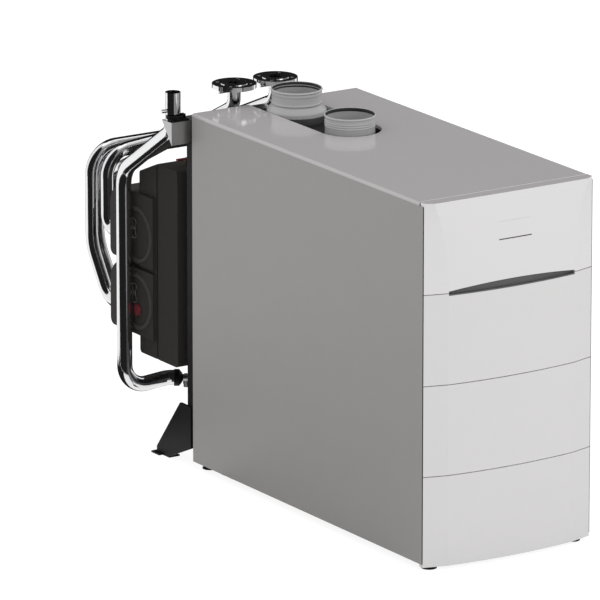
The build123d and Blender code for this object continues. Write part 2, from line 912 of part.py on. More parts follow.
# Venturi mixer ahead of the fan
mixer_length = 90
mixer_radius = 60
mixer_throat = 34
with BuildPart() as gas_air_mixer:
    with BuildSketch(Plane.XY.offset(fan_z)):
        with BuildLine():
            Polyline(
                (fan_x + fan_inlet, fan_front),
                (fan_x + mixer_radius, fan_front),
                (fan_x + mixer_radius, fan_front - mixer_length),
                (fan_x + fan_inlet, fan_front - mixer_length),
                (fan_x + mixer_throat, fan_front - mixer_length / 2),
                close=True,
            )
        make_face()
    revolve(axis=Axis((fan_x, fan_front, fan_z), (0, 1, 0)))
gas_air_mixer.part.label = "gas_air_mixer"
export_step(gas_air_mixer.part, "parts/gas_air_mixer.step")

# Gas valve beside the mixer, its pipe along the right side to the rear
valve_width = 80
valve_depth = 90
valve_height = 120
gas_od = 34
gas_wall = 3
gas_up = 1180
gas_bend = 60
gas_stub = 60
valve_x = fan_x + mixer_radius + valve_width / 2
valve_y = fan_front - mixer_length / 2
regulator_radius = 22
regulator_length = 34
with BuildPart() as gas_valve:
    with Locations((valve_x, valve_y, fan_z)):
        Box(valve_width, valve_depth - 2 * fit, valve_height)
    fillet(gas_valve.edges().filter_by(Axis.Z), radius=lid_radius)
    rod((valve_x, valve_y, fan_z + valve_height / 2), (0, 0, 1), regulator_radius, regulator_length)
    rod((fan_x, valve_y - valve_depth, fan_z), (0, 1, 0), mixer_radius, 2 * valve_depth, mode=Mode.SUBTRACT)
gas_valve.part.label = "gas_valve"
export_step(gas_valve.part, "parts/gas_valve.step")

gas_run = tube(
    [
        Vector(valve_x + valve_width / 2, valve_y, fan_z),
        Vector(left + gas_in, valve_y, fan_z),
        Vector(left + gas_in, valve_y + valve_depth, bottom + gas_up),
        Vector(left + gas_in, rear + gas_stub, bottom + gas_up),
    ],
    gas_bend,
    gas_od,
    gas_wall,
)
with BuildPart() as gas_pipe:
    add(gas_run.part)
    ring_groove((left + gas_in, rear + gas_stub - gas_seat, bottom + gas_up), (0, -1, 0), gas_od)
gas_pipe.part.label = "gas_pipe"
export_step(gas_pipe.part, "parts/gas_pipe.step")

# Condensate sump under the block with its trap, open to the block and to the flue pipe
sump_wall = 5
sump_drain = 16
seal_lip = 20
trap_radius = 30
trap_height = 70
with BuildPart() as condensate_sump:
    sump_x = (hx_x[0] - hx_wall, hx_x[1] + hx_wall)
    sump_y = (sump_near, flue_y + collar_od / 2 + sump_wall)
    span(sump_x, sump_y, (sump_low, hx_z[0]))
    span(
        (sump_x[0] + sump_wall, sump_x[1] - sump_wall),
        (sump_y[0] + sump_wall, sump_y[1] - sump_wall),
        (sump_low + sump_wall, hx_z[0] - sump_wall),
        mode=Mode.SUBTRACT,
    )
    span(
        (hx_x[0] + seal_lip, hx_x[1] - seal_lip),
        (hx_y[0] + seal_lip, hx_y[1] - seal_lip),
        (sump_low + 2 * sump_wall, hx_z[0] + overrun),
        mode=Mode.SUBTRACT,
    )
    rod(
        (centre_x, flue_y, hx_z[0] - overrun - sump_wall),
        (0, 0, 1),
        collar_od / 2 - 2 * collar_wall,
        2 * sump_wall + 2 * overrun,
        mode=Mode.SUBTRACT,
    )
    trap_y = sump_y[0] + 2 * sump_drain
    rod((centre_x, trap_y, sump_low - trap_height), (0, 0, 1), trap_radius, trap_height)
    rod(
        (centre_x, trap_y, sump_low - trap_height + sump_wall),
        (0, 0, 1),
        sump_drain,
        trap_height + 2 * sump_wall,
        mode=Mode.SUBTRACT,
    )
    rod(
        (centre_x, trap_y + trap_radius - sump_wall, sump_low - trap_height / 2),
        (0, 1, 0),
        sump_drain / 2,
        trap_radius,
    )
condensate_sump.part.label = "condensate_sump"
export_step(condensate_sump.part, "parts/condensate_sump.step")

# Flue pipe from the sump up to the flue collar
plate_top = top - collar_plate_drop + collar_plate_wall
flue_length = plate_top - hx_z[0]
flue_bore = collar_od / 2 - 2 * collar_wall
with BuildPart() as flue_pipe:
    rod((centre_x, flue_y, hx_z[0]), (0, 0, 1), collar_od / 2 - collar_wall - fit, flue_length)
    rod((centre_x, flue_y, hx_z[0]), (0, 0, 1), flue_bore, flue_length, mode=Mode.SUBTRACT)
flue_pipe.part.label = "flue_pipe"
export_step(flue_pipe.part, "parts/flue_pipe.step")

# Plate below the notch that carries both collars
plate_side = 24
plate_near = 880
with BuildPart() as collar_plate:
    plate_x = (centre_x - notch_radius - plate_side, centre_x + notch_radius + plate_side)
    span(plate_x, (front + plate_near, rear - sheet - fit), (plate_top - collar_plate_wall, plate_top))
    for x in (plate_x[0], plate_x[1] - collar_plate_wall):
        lip_y = (front + plate_near, rear - lid_hem - fit)
        span((x, x + collar_plate_wall), lip_y, (plate_top, top - sheet - fit))
    for y in (flue_y, air_y):
        rod(
            (centre_x, y, plate_top - overrun - collar_plate_wall),
            (0, 0, 1),
            collar_od / 2 - collar_wall,
            2 * overrun + collar_plate_wall,
            mode=Mode.SUBTRACT,
        )
collar_plate.part.label = "collar_plate"
export_step(collar_plate.part, "parts/collar_plate.step")

# Flue collar: socket with two beads over a flared foot
bead = 3
bead_half = 6
flue_beads = (24, 62)
rim_roll = 3
socket_radius = collar_od / 2
bore_radius = socket_radius - collar_wall
seal_groove = 1.5
seal_half = 3
seal_set = 0.1
seal_clear = 0.05
flue_seal_drop = 18
air_seal_drop = 11
socket_depth = 70
stop_step = 2


def bore_outline(rim, seal_drop):
    """Inside of a socket, rim to foot: land, seal groove, wall, stop and lower bore."""
    inner = centre_x + bore_radius
    return [
        (inner, rim),
        (inner, rim - seal_drop + seal_half),
        (inner + seal_groove, rim - seal_drop + seal_half),
        (inner + seal_groove, rim - seal_drop - seal_half),
        (inner, rim - seal_drop - seal_half),
        (inner, rim - socket_depth),
        (inner - stop_step, rim - socket_depth),
        (inner - stop_step, plate_top),
    ]


with BuildPart() as flue_collar:
    with BuildSketch(Plane.XZ.offset(-flue_y)):
        with BuildLine():
            outline = [(centre_x + flue_cone_radius, plate_top)]
            outline += [(centre_x + flue_cone_radius, top - flue_cone_drop)]
            outline += [(centre_x + socket_radius - bead, top + flue_cone_rise)]
            for low in flue_beads:
                outline += [
                    (centre_x + socket_radius - bead, top + low - bead_half),
                    (centre_x + socket_radius, top + low),
                    (centre_x + socket_radius - bead, top + low + bead_half),
                ]
            outline += [(centre_x + socket_radius, top + flue_rise - rim_roll)]
            outline += [(centre_x + socket_radius, top + flue_rise)]
            outline += bore_outline(top + flue_rise, flue_seal_drop)
            Polyline(*outline, close=True)
        make_face()
    revolve(axis=Axis((centre_x, flue_y, 0), (0, 0, 1)))
flue_collar.part.label = "flue_collar"
export_step(flue_collar.part, "parts/flue_collar.step")

# Air collar: lower socket with a row of fine ridges
ridge = 1.5
ridge_half = 3
air_ridges = (18, 27, 36)
with BuildPart() as air_collar:
    with BuildSketch(Plane.XZ.offset(-air_y)):
        with BuildLine():
            outline = [(centre_x + socket_radius + rim_roll, plate_top)]
            outline += [(centre_x + socket_radius + rim_roll, plate_top + rim_roll)]
            outline += [(centre_x + socket_radius - ridge, plate_top + rim_roll)]
            for low in air_ridges:
                outline += [
                    (centre_x + socket_radius - ridge, top + low - ridge_half),
                    (centre_x + socket_radius, top + low),
                    (centre_x + socket_radius - ridge, top + low + ridge_half),
                ]
            outline += [(centre_x + socket_radius - ridge, top + air_rise - 2 * rim_roll)]
            outline += [(centre_x + socket_radius, top + air_rise - rim_roll)]
            outline += [(centre_x + socket_radius, top + air_rise)]
            outline += bore_outline(top + air_rise, air_seal_drop)
            Polyline(*outline, close=True)
        make_face()
    revolve(axis=Axis((centre_x, air_y, 0), (0, 0, 1)))
air_collar.part.label = "air_collar"
export_step(air_collar.part, "parts/air_collar.step")

# Seals: one soft ring in each collar's groove
with BuildPart() as collar_seals:
    for y, seal_z in ((flue_y, top + flue_rise - flue_seal_drop), (air_y, top + air_rise - air_seal_drop)):
        with BuildSketch(Plane.XY.offset(seal_z - seal_half)):
            with Locations((centre_x, y)):
                Circle(bore_radius + seal_groove - seal_clear)
                Circle(bore_radius + seal_set, mode=Mode.SUBTRACT)
        extrude(amount=2 * seal_half)
collar_seals.part.label = "collar_seals"
export_step(collar_seals.part, "parts/collar_seals.step")

# Rear panel between the side returns, with openings for the tubes
hole_clear = 2
union_length = 34
union_across = 70
inner_end = union_length / 2
supply_spot = at_rear(supply_end_in, 0, supply_shoulder)
return_spot = at_rear(return_end_in, 0, return_shoulder)
gas_spot = at_rear(gas_in, 0, gas_up)
with BuildPart() as rear_panel:
    span(
        (left + side_return + fit, right - side_return - fit),
        (rear - sheet, rear),
        (bottom + rail_height, plate_top - collar_plate_wall - fit),
    )
    for spot, radius in ((supply_spot, tube_od / 2), (return_spot, tube_od / 2), (gas_spot, gas_od / 2)):
        rod(spot - (0, overrun, 0), (0, 1, 0), radius + hole_clear, 2 * overrun, mode=Mode.SUBTRACT)
rear_panel.part.label = "rear_panel"
export_step(rear_panel.part, "parts/rear_panel.step")

# Union nuts on the rear panel, closing the tubes' joints
with BuildPart() as rear_unions:
    for spot in (supply_spot, return_spot):
        nut(spot, (0, 1, 0), union_across, union_length, tube_od)
rear_unions.part.label = "rear_unions"
export_step(rear_unions.part, "parts/rear_unions.step")

# Water pipes inside the casing, from the block to the unions
pipe_bend = 55
port_run = 80
flow_port_drop = 60
return_port_rise = 70
supply_swing = 170
port_x = return_spot.X - 2 * pipe_bend
flow_port_z = hx_z[1] - flow_port_drop
return_port_z = hx_z[0] + return_port_rise
inner_supply_pipe = tube(
    [
        Vector(port_x, hx_y[1], flow_port_z),
        Vector(port_x, hx_y[1] + port_run, flow_port_z),
        Vector(supply_spot.X, hx_y[1] + supply_swing, supply_spot.Z),
        supply_spot + (0, inner_end, 0),
    ],
    pipe_bend,
    tube_od,
    tube_wall,
)
inner_supply_pipe.part.label = "inner_supply_pipe"
export_step(inner_supply_pipe.part, "parts/inner_supply_pipe.step")

inner_return_pipe = tube(
    [
        Vector(port_x, hx_y[1], return_port_z),
        Vector(port_x, hx_y[1] + port_run, return_port_z),
        Vector(return_spot.X, hx_y[1] + port_run, return_port_z),
        Vector(return_spot.X, hx_y[1] + port_run, return_spot.Z),
        return_spot + (0, inner_end, 0),
    ],
    (pipe_bend - fit, pipe_bend - fit, pipe_bend),
    tube_od,
    tube_wall,
)
inner_return_pipe.part.label = "inner_return_pipe"
export_step(inner_return_pipe.part, "parts/inner_return_pipe.step")

# Boiler supply: from the rear panel across, down and into the lower pod
lean_radii = (120, 105, 170, 100)
boiler_supply = tube(
    [
        supply_spot + (0, inner_end, 0),
        at_rear(supply_end_in, supply_back, supply_shoulder),
        at_rear(supply_in, supply_back, supply_shoulder),
        at_rear(supply_in, supply_back, lean_top),
        at_rear(supply_in, supply_back - lean_forward, lean_bottom),
        at_rear(supply_in, tube_end, lean_bottom),
    ],
    lean_radii,
    tube_od,
    tube_wall,
)
boiler_supply.part.label = "boiler_supply"
export_step(boiler_supply.part, "parts/boiler_supply.step")

boiler_return = tube(
    [
        return_spot + (0, inner_end, 0),
        at_rear(return_end_in, return_back, return_shoulder),
        at_rear(return_drop_in, return_back, return_shoulder),
        at_rear(return_drop_in, return_back, lean_top),
        at_rear(return_drop_in, return_back - lean_forward, lean_bottom),
        at_rear(return_drop_in, tube_end, lean_bottom),
    ],
    lean_radii,
    tube_od,
    tube_wall,
)
boiler_return.part.label = "boiler_return"
export_step(boiler_return.part, "parts/boiler_return.step")


def weld_flange(inward):
    """Loose ring, raised face and neck on top of a riser."""
    with Locations(at_rear(inward, riser_back, casing_height + line_rise - flange_wall)):
        Cylinder(flange_od / 2, flange_wall - raised_height, align=(Align.CENTER, Align.CENTER, Align.MIN))
        Cylinder(raised_face / 2, flange_wall, align=(Align.CENTER, Align.CENTER, Align.MIN))
        Cylinder(
            tube_od / 2 - tube_wall,
            flange_wall,
            align=(Align.CENTER, Align.CENTER, Align.MIN),
            mode=Mode.SUBTRACT,
        )
        with PolarLocations(bolt_circle / 2, bolt_count, start_angle=180 / bolt_count):
            Cylinder(
                bolt_hole / 2,
                flange_wall,
                align=(Align.CENTER, Align.CENTER, Align.MIN),
                mode=Mode.SUBTRACT,
            )


def sensor_pocket(inward, back, up, reach, outer):
    """A sensor pocket welded on the left side of an upright tube."""
    start = outer / 2 - tube_wall
    rod(at_rear(inward - start, back, up), (-1, 0, 0), pocket_od / 2, reach - start)


# Risers of the heating side, each with its flange and sensor pocket
pocket_od = 14
pocket_up = 1366
line_pocket_rise = 4
flange_reach = 68
riser_bend = 80
flow_elbow_bend = 55
feed_bends = (105, 75)
with BuildPart() as flow_riser:
    with BuildLine():
        flow_route = FilletPolyline(
            at_rear(flow_drop_in, tube_end, flow_elbow_up),
            at_rear(flow_drop_in, flow_drop_back, flow_elbow_up),
            at_rear(flow_drop_in, flow_drop_back, flow_shoulder),
            at_rear(flow_in, riser_back, casing_height - riser_corner_drop),
            at_rear(flow_in, riser_back, casing_height + line_rise - flange_wall),
            radius=(flow_elbow_bend, riser_bend, riser_bend - flow_elbow_bend / 2),
        )
    with BuildSketch(Plane(origin=flow_route @ 0, z_dir=flow_route % 0)):
        Circle(tube_od / 2)
        Circle(tube_od / 2 - tube_wall, mode=Mode.SUBTRACT)
    sweep()
    weld_flange(flow_in)
    sensor_pocket(flow_in, riser_back, pocket_up, flange_reach, tube_od)
flow_riser.part.label = "flow_riser"
export_step(flow_riser.part, "parts/flow_riser.step")

with BuildPart() as return_riser:
    with BuildLine():
        return_route = FilletPolyline(
            at_rear(supply_in, tube_end, feed_elbow_up),
            at_rear(supply_in, feed_back, feed_elbow_up),
            at_rear(supply_in, feed_back, feed_shoulder),
            at_rear(return_in, feed_back, feed_end_up),
            at_rear(return_in, riser_back, casing_height - riser_corner_drop),
            at_rear(return_in, riser_back, casing_height + line_rise - flange_wall),
            radius=(flow_elbow_bend, feed_bends[0], feed_bends[1], riser_bend - flow_elbow_bend / 2),
        )
    with BuildSketch(Plane(origin=return_route @ 0, z_dir=return_route % 0)):
        Circle(tube_od / 2)
        Circle(tube_od / 2 - tube_wall, mode=Mode.SUBTRACT)
    sweep()
    weld_flange(return_in)
    sensor_pocket(return_in, riser_back, pocket_up, flange_reach, tube_od)
return_riser.part.label = "return_riser"
export_step(return_riser.part, "parts/return_riser.step")

# Expansion line: open stub on top, loop outside the pods, cap and nipple at its end
line_bends = (70, 110, 85, 60)
cap_wall = 4
nipple_radius = 9
nipple_length = 16
with BuildPart() as expansion_line:
    with BuildLine():
        line_route = FilletPolyline(
            at_rear(-line_stub_out, riser_back, casing_height + line_rise),
            at_rear(-line_stub_out, riser_back, casing_height - line_top_corner),
            at_rear(-line_loop_out, line_back, casing_height - line_shoulder),
            at_rear(-line_loop_out, line_back, line_floor),
            at_rear(line_inner_turn, line_back, line_run_floor),
            at_rear(line_end_in, line_end_back, line_run_floor),
            radius=line_bends,
        )
    with BuildSketch(Plane(origin=line_route @ 0, z_dir=line_route % 0)):
        Circle(line_od / 2)
        Circle(line_od / 2 - line_wall, mode=Mode.SUBTRACT)
    sweep()
    rod(line_route @ 1, line_route % 1, line_od / 2, cap_wall)
    rod(line_route @ 1 + (line_route % 1) * cap_wall, line_route % 1, nipple_radius, nipple_length)
    sensor_pocket(-line_stub_out, riser_back, casing_height + line_pocket_rise, pocket_reach, line_od)
    ring_groove(
        at_rear(-line_stub_out, riser_back, casing_height + line_rise - stub_seat),
        (0, 0, -1),
        line_od,
    )
expansion_line.part.label = "expansion_line"
export_step(expansion_line.part, "parts/expansion_line.step")

# Drain valve on the nipple: body, neck and lever boss
valve_start = line_route @ 1 + (line_route % 1) * (cap_wall + nipple_length)
valve_heading = line_route % 1
drain_radius = 14
drain_length = 40
neck_radius = 9
neck_length = 22
stem_radius = 4
stem_length = 12
drain_tail_radius = 8
drain_tail_length = 90
neck_at = valve_start + valve_heading * (drain_length / 4)
tail_at = valve_start + valve_heading * (drain_length * 3 / 4)
lever_side = Vector(-valve_heading.Y, valve_heading.X, 0)
stem_at = neck_at + lever_side * (drain_radius - tube_wall)
with BuildPart() as drain_valve:
    rod(valve_start, valve_heading, drain_radius, drain_length)
    rod(neck_at, (0, 0, -1), neck_radius, drain_radius + neck_length)
    rod(stem_at, lever_side, stem_radius, stem_length + tube_wall)
    rod(tail_at, (0, 0, -1), drain_tail_radius, drain_radius + drain_tail_length)
    tail_seat = tail_at - (0, 0, drain_radius + drain_tail_length - drain_seat)
    ring_groove(tail_seat, (0, 0, 1), 2 * drain_tail_radius)
drain_valve.part.label = "drain_valve"
export_step(drain_valve.part, "parts/drain_valve.step")

# Drain lever: a short wing hanging from its stem, turning a quarter
lever_hub = 10
lever_wall = 4
wing_length = 20
wing_width = 22
lever_width = 14
lever_at = neck_at + lever_side * (drain_radius + stem_length - lever_wall - lever_hub / 2)
with BuildPart() as drain_lever:
    rod(lever_at, lever_side, lever_hub, lever_hub / 2 + lever_wall / 2)
    with BuildSketch(Plane(origin=lever_at, x_dir=valve_heading, z_dir=lever_side)):
        with Locations((0, wing_length / 2)):
            Rectangle(lever_width, wing_length)
        with Locations((0, wing_length + lever_hub / 2)):
            Rectangle(wing_width, lever_hub)
    extrude(amount=lever_wall)
    lever_bore = stem_radius + pin_fit / 2
    rod(lever_at - lever_side * overrun, lever_side, lever_bore, 3 * lever_hub, mode=Mode.SUBTRACT)
drain_lever.part.label = "drain_lever"
export_step(drain_lever.part, "parts/drain_lever.step")

# Rear frame: two posts, a cross bar and two arms under the exchanger block
frame_span = 500
bracket_drop = 32
bracket_height = 85
bracket_wall = 3
bracket_near = 25
bracket_far = 92
bracket_left = 72
bar_height = 36
arm_in = 130
arm_width = 30
arm_height = 16
arm_far = 350
bracket_top = casing_height - bracket_drop
bracket_low = bracket_top - bracket_height
post_lefts = (left + post_in, left + frame_span - post_in - post_width)
block_base = bottom + block_low
with BuildPart() as rear_frame:
    for x in post_lefts:
        span(
            (x, x + post_width),
            (rear + post_near, rear + post_near + post_depth),
            (post_low, bottom + bracket_low),
        )
        span(
            (x + post_wall, x + post_width - post_wall),
            (rear + post_near + post_wall, rear + post_near + post_depth - post_wall),
            (post_low + post_wall, bottom + bracket_low - post_wall),
            mode=Mode.SUBTRACT,
        )
    span(
        (post_lefts[0] + post_width, post_lefts[1]),
        (rear + post_near, rear + post_near + post_depth),
        (block_base - bar_height, block_base),
    )
    for x in (left + arm_in, left + frame_span - arm_in - arm_width):
        span(
            (x, x + arm_width),
            (rear + post_near + post_depth, rear + arm_far),
            (block_base - arm_height, block_base),
        )
rear_frame.part.label = "rear_frame"
export_step(rear_frame.part, "parts/rear_frame.step")

# Two black feet: pad, short floor strip and sloping web beside each post
foot_web = 10
pad_out = 20
pad_width = 77
pad_near = 206
pad_far = 261
web_top = 205
web_top_back = 85
web_foot_back = 247
strip_near = 160
strip_width = 46
with BuildPart() as frame_feet:
    for inward, side in ((0, 1), (frame_span, -1)):
        outer_x = left + inward - side * (foot_web - post_in)
        strip_x = sorted((outer_x, outer_x + side * strip_width))
        web_x = sorted((outer_x, left + inward + side * post_in))
        pad_x = sorted((left + inward - side * pad_out, left + inward + side * (pad_width - pad_out)))
        span(strip_x, (rear + strip_near, rear + pad_far), (0, foot_plate))
        span(pad_x, (rear + pad_near, rear + pad_far), (0, foot_plate))
        with BuildSketch(Plane.YZ.offset(web_x[0])):
            with BuildLine():
                Polyline(
                    (rear + post_near, post_low),
                    (rear + strip_near, foot_plate),
                    (rear + web_foot_back, foot_plate),
                    (rear + web_foot_back, bottom),
                    (rear + web_top_back, bottom + web_top),
                    (rear + post_near, bottom + web_top),
                    close=True,
                )
            make_face()
        extrude(amount=foot_web)
frame_feet.part.label = "frame_feet"
export_step(frame_feet.part, "parts/frame_feet.step")

# Header bracket: shelf, front plate, seat on the posts and end gussets
slot_clear = 6
slot_near = 40
with BuildPart() as header_bracket:
    bracket_x = (left - bracket_left, left + frame_span)
    bracket_z = (bottom + bracket_low, bottom + bracket_top)
    span(bracket_x, (rear + bracket_near, rear + bracket_near + bracket_wall), bracket_z)
    span(bracket_x, (rear + bracket_near, rear + bracket_far), (bracket_z[1] - bracket_wall, bracket_z[1]))
    span(
        (left, left + frame_span),
        (rear + bracket_near, rear + post_near + post_depth),
        (bracket_z[0], bracket_z[0] + bracket_wall),
    )
    for x in (bracket_x[0], bracket_x[1] - bracket_wall):
        with BuildSketch(Plane.YZ.offset(x)):
            with BuildLine():
                Polyline(
                    (rear + bracket_near, bracket_z[0]),
                    (rear + bracket_far, bracket_z[1]),
                    (rear + bracket_near, bracket_z[1]),
                    close=True,
                )
            make_face()
        extrude(amount=bracket_wall)
    for inward in (flow_in, return_in):
        x = left + inward
        span(
            (x - tube_od / 2 - 2 * slot_clear, x + tube_od / 2 + slot_clear),
            (rear + slot_near, rear + bracket_far),
            (bracket_z[1] - bracket_wall, bracket_z[1]),
            mode=Mode.SUBTRACT,
        )
    rod(
        at_rear(-line_stub_out, riser_back, bracket_top - bracket_wall),
        (0, 0, 1),
        line_od / 2 + hole_clear,
        bracket_wall,
        mode=Mode.SUBTRACT,
    )
header_bracket.part.label = "header_bracket"
export_step(header_bracket.part, "parts/header_bracket.step")

# Clamp block on the shelf, holding the expansion line
clamp_height = 26
clamp_half = 44
with BuildPart() as line_clamp:
    span(
        (left - line_stub_out - line_od / 2 - bracket_wall, left - line_stub_out + clamp_half),
        (rear + bracket_near, rear + bracket_far),
        (bottom + bracket_top, bottom + bracket_top + clamp_height),
    )
    rod(
        at_rear(-line_stub_out, riser_back, bracket_top),
        (0, 0, 1),
        line_od / 2,
        clamp_height,
        mode=Mode.SUBTRACT,
    )
line_clamp.part.label = "line_clamp"
export_step(line_clamp.part, "parts/line_clamp.step")

# Moulded block, front half: the side next to the casing
hollow_far = 300
block_x = (left, left + block_width)
block_y = (rear + block_near, rear + block_far)
split_y = rear + pod_near
hollow_x = (block_x[0] + block_wall, block_x[1] - block_wall)
hollow_y = (block_y[0] + block_wall, rear + hollow_far)
hollow_z = (block_base + block_wall, bottom + block_shoulder - block_wall)
with BuildPart() as block_body:
    with BuildSketch(Plane.YZ.offset(block_x[0])):
        with BuildLine():
            Polyline(
                (block_y[0], block_base),
                (block_y[1], block_base),
                (block_y[1], bottom + block_shoulder),
                (rear + block_slope_back, bottom + block_top),
                (block_y[0], bottom + block_top),
                close=True,
            )
        make_face()
        fillet(vertices(), radius=block_round)
    extrude(amount=block_width)
    span(hollow_x, hollow_y, hollow_z, mode=Mode.SUBTRACT)
groove_width = 8
groove_depth = 5
groove_near = 240
purge_in = 84
purge_back = 165
purge_radius = 8
purge_rise = 22
with BuildPart() as exchanger_shell_front:
    add(block_body.part)
    span(
        (block_x[0], block_x[1]),
        (split_y, block_y[1]),
        (block_base, bottom + block_top),
        mode=Mode.SUBTRACT,
    )
    span(
        (block_x[0], block_x[0] + groove_depth),
        (rear + groove_near, rear + groove_near + groove_width),
        (block_base, bottom + block_top),
        mode=Mode.SUBTRACT,
    )
    rod(
        at_rear(purge_in, purge_back, 0) + (0, 0, hollow_z[1] - bottom - overrun),
        (0, 0, 1),
        purge_radius + fit,
        3 * block_wall,
        mode=Mode.SUBTRACT,
    )
exchanger_shell_front.part.label = "exchanger_shell_front"
export_step(exchanger_shell_front.part, "parts/exchanger_shell_front.step")

# Moulded block, rear half, with the front halves of both pods
port_wall = 22
pod_split = 400
port_radius_out = 18
second_port_in = 150
pump_centre_back = 388
volute_radius = 42
volute_length = 48
volute_wall = 5
motor_can_radius = 28
runner_side = 2
pump_shaft = 5
pump_shaft_fit = 0.05
boss_radius_out = 25
knob_stem = 5
knob_back = 356
knob_up = 499
knob_boss = 10
knob_boss_length = 26
pod_x = (left - pod_out, left + pod_in)
pods = (
    (upper_pod_low, upper_pod_high, feed_elbow_up, supply_in - tube_od / 2, flow_drop_in, flow_elbow_up),
    (lower_pod_low, lower_pod_high, lean_bottom, return_drop_in - tube_od / 2, supply_in, lean_bottom),
)
with BuildPart() as exchanger_shell_rear:
    add(block_body.part)
    span(
        (block_x[0], block_x[1]),
        (block_y[0], split_y),
        (block_base, bottom + block_top),
        mode=Mode.SUBTRACT,
    )
    for low, high, *others in pods:
        span(pod_x, (split_y, rear + pod_split), (bottom + low, bottom + high))
        span(
            (pod_x[0] + pod_wall, pod_x[1] - pod_wall),
            (rear + hollow_far + port_wall, rear + pod_split),
            (bottom + low + pod_wall, bottom + high - pod_wall),
            mode=Mode.SUBTRACT,
        )
    span(hollow_x, (hollow_y[0], hollow_y[1]), hollow_z, mode=Mode.SUBTRACT)
    for low, high, pump_up, start_in, other_in, other_up in pods:
        for inward, up in ((flow_drop_in, pump_up), (second_port_in, pump_up)):
            rod(
                at_rear(inward, hollow_far - overrun, up),
                (0, 1, 0),
                port_radius_out + fit,
                port_wall + 2 * overrun,
                mode=Mode.SUBTRACT,
            )
    rod(
        at_rear(-pod_out - overrun, knob_back, knob_up),
        (1, 0, 0),
        knob_stem + fit,
        pod_wall + 2 * overrun,
        mode=Mode.SUBTRACT,
    )
exchanger_shell_rear.part.label = "exchanger_shell_rear"
export_step(exchanger_shell_rear.part, "parts/exchanger_shell_rear.step")

# Pod covers: the rear halves, with round tails and snug tube openings
for name, pod, openings in (
    ("upper_pump_cover", pods[0], ((supply_in, feed_elbow_up), (flow_drop_in, flow_elbow_up))),
    ("lower_pump_cover", pods[1], ((supply_in, lean_bottom), (return_drop_in, lean_bottom))),
):
    low, high = pod[:2]
    with BuildPart() as pump_cover:
        span(pod_x, (rear + pod_split, rear + pod_far), (bottom + low, bottom + high))
        fillet(
            pump_cover.faces().sort_by(Axis.Y)[-1].edges().filter_by(Axis.X).sort_by(Axis.Z)[-1:],
            radius=pod_tail_round,
        )
        fillet(
            pump_cover.faces().sort_by(Axis.Y)[-1].edges().filter_by(Axis.X).sort_by(Axis.Z)[:1],
            radius=pod_round,
        )
        span(
            (pod_x[0] + pod_wall, pod_x[1] - pod_wall),
            (rear + pod_split, rear + pod_far - pod_wall),
            (bottom + low + pod_wall, bottom + high - pod_tail_round / 2 - pod_wall),
            mode=Mode.SUBTRACT,
        )
        for inward, up in openings:
            rod(
                at_rear(inward, pod_split, up),
                (0, 1, 0),
                tube_od / 2 + fit,
                pod_far - pod_split + overrun,
                mode=Mode.SUBTRACT,
            )
    pump_cover.part.label = name
    export_step(pump_cover.part, f"parts/{name}.step")

# Plate heat exchanger inside the block
plate_margin = 20
plate_near = 150
plate_pitch = 15
plate_groove = 4
channel_width = 9
channel_set = 3
channel_end = 12
with BuildPart() as plate_exchanger:
    plate_x = (hollow_x[0] + plate_margin, hollow_x[1] - plate_margin)
    plate_z = (hollow_z[0], hollow_z[1] - plate_margin)
    span(plate_x, (rear + plate_near, hollow_y[1]), plate_z)
    groove_count = int((hollow_y[1] - rear - plate_near) / plate_pitch) - 1
    for index in range(groove_count):
        groove_y = rear + plate_near + plate_pitch * (index + 1)
        for x in (plate_x[0], plate_x[1] - plate_groove):
            span((x, x + plate_groove), (groove_y, groove_y + plate_groove), plate_z, mode=Mode.SUBTRACT)
        span(
            (plate_x[0] + channel_end, plate_x[1] - channel_end),
            (groove_y + channel_set, groove_y + channel_set + channel_width),
            (plate_z[0] + channel_end, plate_z[1] - channel_end),
            mode=Mode.SUBTRACT,
        )
plate_exchanger.part.label = "plate_exchanger"
export_step(plate_exchanger.part, "parts/plate_exchanger.step")

